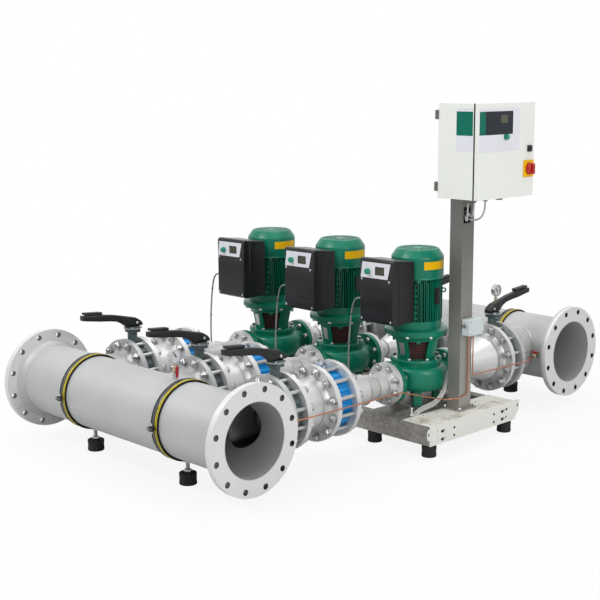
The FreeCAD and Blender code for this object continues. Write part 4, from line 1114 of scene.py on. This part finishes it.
# %% [markdown]
# The feet are rubber buffers: a short cylinder with a waist, a bonded steel washer at each end.

# %% Feet
def buffer(x, y, r, h=50.0):
    """Profile with a shallow waist: r - 2 at mid height, rounded rims, flat at floor and top."""
    profile = [(0, 0.1), (r - 2.5, 0.1), (r - 0.2, 2.5), (r - 0.6, 12), (r - 1.8, h / 2), (r - 0.6, h - 12),
               (r - 0.2, h - 3), (r - 2, h - 0.1), (0, h - 0.1)]
    return put(lathe(profile, 48), (x, y, 0))


base_low, base_high = corners("frame_ends")
foot_inset, foot_rows = 34.0, (998.0, 1551.0)
foot_xs = [base_low[0] + foot_inset, *(x - 40.0 for x in lanes), base_high[0] - foot_inset]
buffers = [buffer(x, y, 37.9) for x, y in clamp_places]
buffers += [buffer(x, y, 33.9) for x in foot_xs for y in foot_rows]
rod_nuts = []
for x, y in clamp_places:
    rod_nuts += [put(nut(30, 13.4), (x, y, 50)), put(nut(24, 9), (x, y, 92))]
piece("buffers", buffers, "foot_rubber", stands_for=("rubber_feet",))
piece("buffer_nuts", rod_nuts, "stud_zinc")

# %% [markdown]
# ## Base frame
# The end plate is pressed sheet with pairs of fixing holes: a slot with a bright bolt in it next to a
# plain hole, twice, at both ends of the plate. A folded tab closes each of its corners, and the deck
# plate that carries the post has small holes of its own.

# %% Base details
# The fixing holes and the deck's holes are thin near-black discs and slots: painted shade for each hole's
# depth.
holes = []
for x, way in ((base_high[0], "+X"), (base_low[0], "-X")):
    for y, z in ((1132.7, 112), (1132.7, 76), (1426, 114), (1426, 76), (1523, 119)):
        holes.append(put(bar(6.0, 0, 0.5), (x, y, z), way))
    for y, z in ((1054, 112), (1054, 75), (1494, 115), (1494, 78)):
        holes.append(put(pill(30, 13, 0.5), (x, y, z), way, 90))
bolt_places = ((1059, 112), (1059, 75), (1499, 115), (1499, 78))
end_bolts = [put(nut(11, 3.4), (base_high[0], y, z), "+X") for y, z in bolt_places]
deck_top = 150.0
deck_holes = [(-56, 991), (-39, 1038), (0, 1002), (14, 1069), (60, 986), (16, 975), (-47, 1156), (62, 1110),
              (-60, 1080), (66, 1180), (-70, 1540), (-54, 1558), (52, 1564), (30, 1420), (62, 1400),
              (-40, 1440)]
holes += [put(bar(3.6, 0, 0.4, 16), (x, y, deck_top)) for x, y in deck_holes]
piece("base_holes", holes, "painted_hole_shade")
piece("end_bolts", end_bolts, "stud_zinc")


# %% Corner tabs, deck edge and lead clip
def folded_tab(x, y, low, high, out):
    """A rounded tongue in the YZ plane, standing out in front of the channel's end."""
    t = np.linspace(np.pi / 2, 3 * np.pi / 2, 12)
    r = (high - low) / 2
    arc = np.stack([y - out + r * 0.55 + r * 0.55 * np.cos(t), (low + high) / 2 + r * np.sin(t)], -1)
    return slab([*arc, (y, low), (y, high)], "yz", x - 3.6, x - 0.4)


edge = rect(base_low[1] + 0.5, base_high[1] - 0.5, 145.4, 149.8)
tabs = [folded_tab(base_high[0], base_low[1] + 0.4, 84, 136, 20),
        slab(edge, "yz", base_high[0] - 3.8, base_high[0] - 0.3)]
# The tab's slots are also thin near-black pills of painted shade.
tab_holes = [put(pill(16, 7, 0.4), (x, y, z), "+X") for x, y, z in
             ((base_high[0] - 0.5, base_low[1] - 9, 112), (base_high[0], base_high[1] - 15, 124))]
piece("corner_tabs", tabs, "frame_cream", bevel=1.0)
piece("tab_holes", tab_holes, "painted_hole_shade")
clip = [(0, 0), (9, 0), (9, 3), (4.5, 5), (4.0, 30), (5.5, 32), (5.5, 36), (0, 37)]
piece("lead_clip", put(lathe(clip, 20), (-104, 1052, 146)), "cabinet_white")
post_screws = [put(nut(17, 9), (x, y, 158.0)) for x in (-72, 16) for y in (1246, 1352)]
piece("post_foot_bolts", post_screws, "stud_zinc")

# %% [markdown]
# ## Cabinet
# Folded sheet has soft edges, so the housing and the door are redrawn with a bevel. A dark seal shows
# between them as a fine line. On the door lie a dark panel with a green strip and a display, a paper
# label, the lock, the knob and the main switch on its yellow plate; on the side a green panel and
# another paper. All of them are left without lettering.

# %% Housing and door
def tray(x_back, x_front, inset, wall):
    """Open box towards +X (or -X when the back is the larger): five walls of the given thickness."""
    inner = x_back + wall * (1 if x_front > x_back else -1)
    rows = [(x_back, inset), (x_front, inset), (x_front, inset + wall), (inner, inset + wall)]
    loops = [[(x, y, z) for y, z in rect(y0 + gap, y1 - gap, z0 + gap, z1 - gap)] for x, gap in rows]
    return capped(np.array(loops, float))


house_low, house_high = corners("cabinet_housing")
door_low, door_high = corners("cabinet_door")
plate_t, seal_x, sheet = 5.0, house_high[0] - 7.0, 2.0
face = door_high[0] - plate_t
(y0, y1), (z0, z1) = (house_low[1], house_high[1]), (door_low[2], door_high[2])
piece("cabinet_shell", tray(house_low[0] + 0.2, seal_x, 0.2, sheet), "cabinet_white", bevel=2.0)
piece("cabinet_seal", tray(seal_x - 6, house_high[0] + 0.2, 1.0, 1.0), "lining_black")
door_leaf = tray(face, door_low[0] + 0.2, 0.0, sheet)
piece("door_leaf", door_leaf, "cabinet_white", "cabinet_door", bevel=3.0, stands_for=("cabinet_door",))
glands = []
for y, r in ((1160, 15), (1203, 15), (1283, 15), (1383, 20)):
    profile = [(0, 0), (r - 1, 0), (r - 1, 9), (r - 3, 10), (r - 3, 20), (r - 6, 25.8), (0, 25.8)]
    glands += [put(lathe(profile, 24), (110, y, z0), "-Z"), put(nut(r * 1.8, 8), (110, y, z0 - 8))]
piece("cabinet_glands", glands, "gland_grey", stands_for=("cabinet_housing",))
print("door face at", round(face, 1), "door from", round(y0), "to", round(y1))

# %% Labels and the switch plate
door_items = [
    ("door_panel", rect(1062, 1295, 1423, 1521.5), 0.0, 0.9, "panel_dark"),
    ("door_strip", rect(1062.5, 1103, 1423.5, 1521), 0.7, 1.2, "panel_green"),
    ("door_paper", rect(1061, 1346, 1350, 1536), 0.0, 0.4, "label_white"),
    ("door_display", rect(1206.5, 1257, 1471, 1505), 0.6, 1.5, "display"),
    ("switch_plate", rect(1377, 1451, 1231, 1305), 0.0, plate_t, "label_yellow"),
]
for name, outline, low, high, finish_name in door_items:
    piece(name, slab(outline, "yz", face + low, face + high), finish_name, "cabinet_door",
          bevel=2.0 if "plate" in name else 0.12)
piece("side_panel", slab(rect(119.5, 206.6, 1421, 1522), "xz", y0 - 0.7, y0 + 0.2), "panel_green")
piece("side_paper", slab(rect(119.5, 208, 1352, 1536), "xz", y0 - 0.3, y0 + 0.2), "label_white")

# %% [markdown]
# The main switch is a fluted knob with a bar across it. Knobs are lathes whose radius is pressed in by
# a cosine: r(t) = r (1 - depth cos^2(n t / 2)).

# %% Knobs and switch
def fluted(r, height, flutes, depth):
    """Rows of (share of r, height); the rim's radius is scaled by 1 - depth * cos^2(flutes t / 2)."""
    rim = r * (1 - depth * np.cos(flutes * circle(72) / 2) ** 2)
    rows = [(0, 0), (1, 0), (1, height * 0.75), (0.94, height * 0.94), (0.86, height), (0, height)]
    return rimmed(rim, rows)


def door_box(low, high, centre, half_y, half_z):
    """A box between two X, centred on a piece of the door."""
    return box((low, centre[1] - half_y, centre[2] - half_z), (high, centre[1] + half_y, centre[2] + half_z))


switch_c, knob_c, lock_c = middle("main_switch"), middle("door_knob"), middle("door_lock")
tip = corners("main_switch")[1][0]
knob = fluted(13, 16, 16, 0.06)
switch = put(fluted(27, 18, 8, 0.10), (face + plate_t + 0.3, switch_c[1], switch_c[2]), "+X")
piece("switch_knob", switch, "switch_red", "main_switch", sharp=50, stands_for=("main_switch",))
piece("switch_bar", door_box(tip - 20, tip - 0.2, switch_c, 7, 23.5), "switch_red", "main_switch", bevel=3)
door_cap = put(knob, (face + 0.3, knob_c[1], knob_c[2]), "+X")
piece("door_knob_cap", door_cap, "knob_green", "door_knob", sharp=50, stands_for=("door_knob",))
lock = door_box(face + 0.4, face + 10, lock_c, 14, 14)
piece("lock_case", lock, "lock_black", "door_lock", bevel=2.5, stands_for=("door_lock",))
piece("lock_slot", door_box(face + 9.6, face + 10, lock_c, 1.5, 8), "stud_zinc", "door_lock")
for i, x in enumerate(lanes, 1):
    converter_cap, body = put(knob, (x - 48, front_y - 0.3, 805), "-Y"), f"converter_knob_{i}"
    piece(f"converter_knob_cap_{i}", converter_cap, "knob_green", body, sharp=50, stands_for=(body,))

# %% [markdown]
# ## Junction box
# A moulded box on the post with a separate lid. A groove runs round between them, four screws hold the
# lid, and a gland stands at its side.

# %% Junction box
box_low, box_high = corners("junction_box")
lid_x = box_high[0] - 15.0


def shrunk(x_low, x_high, inset):
    """The junction box's outline less an inset on four sides, between two X."""
    return box((x_low, *(box_low[1:] + inset)), (x_high, *(box_high[1:] - inset)))


piece("junction_case", shrunk(box_low[0], lid_x - 1, 0.3), "box_grey", bevel=3, stands_for=("junction_box",))
piece("junction_lid", shrunk(lid_x, box_high[0] - 0.4, 0.3), "box_grey", bevel=4)
piece("junction_neck", shrunk(box_low[0] + 4, lid_x + 2, 2), "box_grey", bevel=1)
cap = lathe([(0, 0), (3.4, 0), (3.4, 0.8), (2.6, 1.1), (0, 1.1)], 16)
caps = [put(cap, (box_high[0] - 1.2, y, z), "+X")
        for y in (box_low[1] + 9, box_high[1] - 9) for z in (box_low[2] + 9, box_high[2] - 9)]
piece("junction_screws", caps, "gland_grey")
gland = lathe([(0, 0), (9, 0), (9, 6), (7, 8), (7, 13), (4, 15), (0, 15)], 20)
gland_place = (box_low[0] + 18, box_low[1] + 0.4, middle("junction_box")[2] + 8)
piece("junction_gland", put(gland, gland_place, "-Y"), "gland_grey")

# %% [markdown]
# ## Gauges
# A pressure gauge is a steel case, a white dial with ticks, a glass and a screwed bezel. They are made
# upright, facing -Y, and then turned about their stems to face the cabinet's end of the set.

# %% Gauge cases and dials
clear = Finish("gauge_glass", 0.05, specular=0.5)
clear.shader.inputs["Alpha"].default_value = 0.10
clear.feed("Roughness", clear.noise(30.0) * 0.05 + 0.02)
gauge_x, gauge_z, gauge_turn = -494.0, 536.0, 90.0
marks = []
for k in range(31):
    tick = box((-0.5, 19.5 if k % 5 == 0 else 23.0, 4.9), (0.5, 26.0, 5.15))
    marks.append(about(tick, 135 - 9 * k))
case_side = [(0, -13), (28, -13), (31.8, -9), (31.8, 9), (29.2, 9), (29.2, 4.2), (0, 4.2)]
bezel_side = [(28.6, 8), (31.95, 8), (31.95, 11), (30.5, 12.9), (28.9, 12.9), (28.6, 11), (28.6, 8)]
gauge_parts = [
    ("case", lathe(case_side, 64), "bezel_steel"),
    ("bezel", lathe(bezel_side, 64), "bezel_steel"),
    ("face", bar(28.9, 4.3, 4.95, 64), "label_white"),
    ("marks", together(marks), "needle_black"),
    ("glass", bar(28.8, 10.2, 11.0, 48), "gauge_glass"),
]
for key, shape, finish_name in gauge_parts:
    facing = put(shape, (0, 0, 0), "-Y")
    pair = [put(facing, (gauge_x, y, gauge_z), "+Z", gauge_turn) for y in header_ys.values()]
    piece(f"gauge_{key}", pair, finish_name)

# %% [markdown]
# Below each gauge's case come a stem, two nuts and a round collar. Where the copper tubes meet the
# headers, the suction header has a round-bodied cock and the discharge header a plain hexagon.

# %% Stems, cocks and taps
collar = lathe([(0, 0), (9.5, 0), (10.5, 3), (10.5, 11), (9.5, 14), (0, 14)], 24)
stem = [bar(7, 462.3, 507, 24), put(nut(22, 10), (0, 0, 468)), put(collar, (0, 0, 478)),
        put(nut(17, 8), (0, 0, 495))]
fittings = [put(shape, (gauge_x, y, 0)) for y in header_ys.values() for shape in stem]
ball_cock = lathe([(0, 0), (9, 0), (9, 6), (12, 9), (12, 31), (8, 35), (8, 43.8), (0, 43.8)], 24)
fittings.append(put(ball_cock, (-104, suction_y - header_r, 268), "-Y"))
fittings.append(put(nut(17, 21.8), (-60, header_r, 287), "+Y"))
piece("gauge_fittings", fittings, "gauge_metal", stands_for=("gauges",))

# %% [markdown]
# ## Stage and light
# The set stands on a pale floor that fades into white: the floor's own light, seen only by the camera,
# grows with the distance from the set, so no horizon shows. The world is white only to the camera and
# to glossy and clear surfaces; as a light it is a soft grey. Large lamps model the round forms.

# %% Floor
floor_half = 15.0
floor_mesh = bpy.data.meshes.new("floor")
floor_corners = [(a, b, 0) for a, b in rect(-floor_half, floor_half, -floor_half, floor_half)]
floor_mesh.from_pydata(floor_corners, [], [(0, 1, 2, 3)])
floor = bpy.data.objects.new("floor", floor_mesh)
bpy.context.scene.collection.objects.link(floor)
ground = Finish("pale_floor", 0.8, specular=0.1)
ground.feed("Base Color", ground.blend(ground.noise(0.6), (0.70, 0.70, 0.70, 1), (0.74, 0.74, 0.74, 1)))
far_off = ground.along(0) * ground.along(0) + ground.along(1) * ground.along(1)
seen = ground.node("ShaderNodeLightPath", out="Is Camera Ray")
share = seen * (far_off.above(1.2, 4.0) * 0.12 + 0.88)
white = ground.node("ShaderNodeEmission", None, {0: (1, 1, 1, 1), 1: 1.0})
paint = Value(ground, ground.shader.outputs[0])
fade = ground.node("ShaderNodeMixShader", None, {0: share, 1: paint, 2: white})
ground.tree.links.new(fade.socket, ground.tree.nodes["Material Output"].inputs[0])
floor_mesh.materials.append(ground.material)

# %% [markdown]
# Light Path tells what kind of ray asks for the world's colour. The largest of its camera, transmission
# and glossy answers picks white, and every other ray, which is the light itself, gets the soft grey.

# %% World
world = bpy.data.worlds.new("studio")
bpy.context.scene.world = world
world.use_nodes = True
sky = world.node_tree
ambient = sky.nodes["Background"]
ambient.inputs[0].default_value = (0.92, 0.94, 0.96, 1)
ambient.inputs[1].default_value = 0.50
backdrop = sky.nodes.new("ShaderNodeBackground")
backdrop.inputs[0].default_value = (1, 1, 1, 1)
rays = sky.nodes.new("ShaderNodeLightPath").outputs
either, any_ray = (sky.nodes.new("ShaderNodeMath") for _ in range(2))
either.operation = "MAXIMUM"
any_ray.operation = "MAXIMUM"
choose = sky.nodes.new("ShaderNodeMixShader")
wires = [(rays["Is Camera Ray"], either, 0), (rays["Is Transmission Ray"], either, 1),
         (either.outputs[0], any_ray, 0), (rays["Is Glossy Ray"], any_ray, 1),
         (any_ray.outputs[0], choose, 0), (ambient.outputs[0], choose, 1),
         (backdrop.outputs[0], choose, 2), (choose.outputs[0], sky.nodes["World Output"], 0)]
for source, target, place in wires:
    sky.links.new(source, target.inputs[place])


# %% Lamps
def lamp(name, where, target, power, width, height):
    """A soft rectangular lamp, turned so that its own -Z looks at the target."""
    data = bpy.data.lights.new(name, "AREA")
    data.shape = "RECTANGLE"
    data.size = width
    data.size_y = height
    data.energy = power
    made = bpy.data.objects.new(name, data)
    bpy.context.scene.collection.objects.link(made)
    made.location = where
    made.rotation_euler = (Vector(target) - Vector(where)).to_track_quat("-Z", "Y").to_euler()


lamp("key", (-1.5, -4.5, 5.0), (0, 0, 0.4), 190, 3.0, 2.0)
lamp("side", (5.5, -1.0, 3.0), (0, 0, 0.5), 118, 2.5, 2.5)
lamp("top", (0.0, 1.0, 6.0), (0, 0, 0.3), 165, 4.0, 4.0)
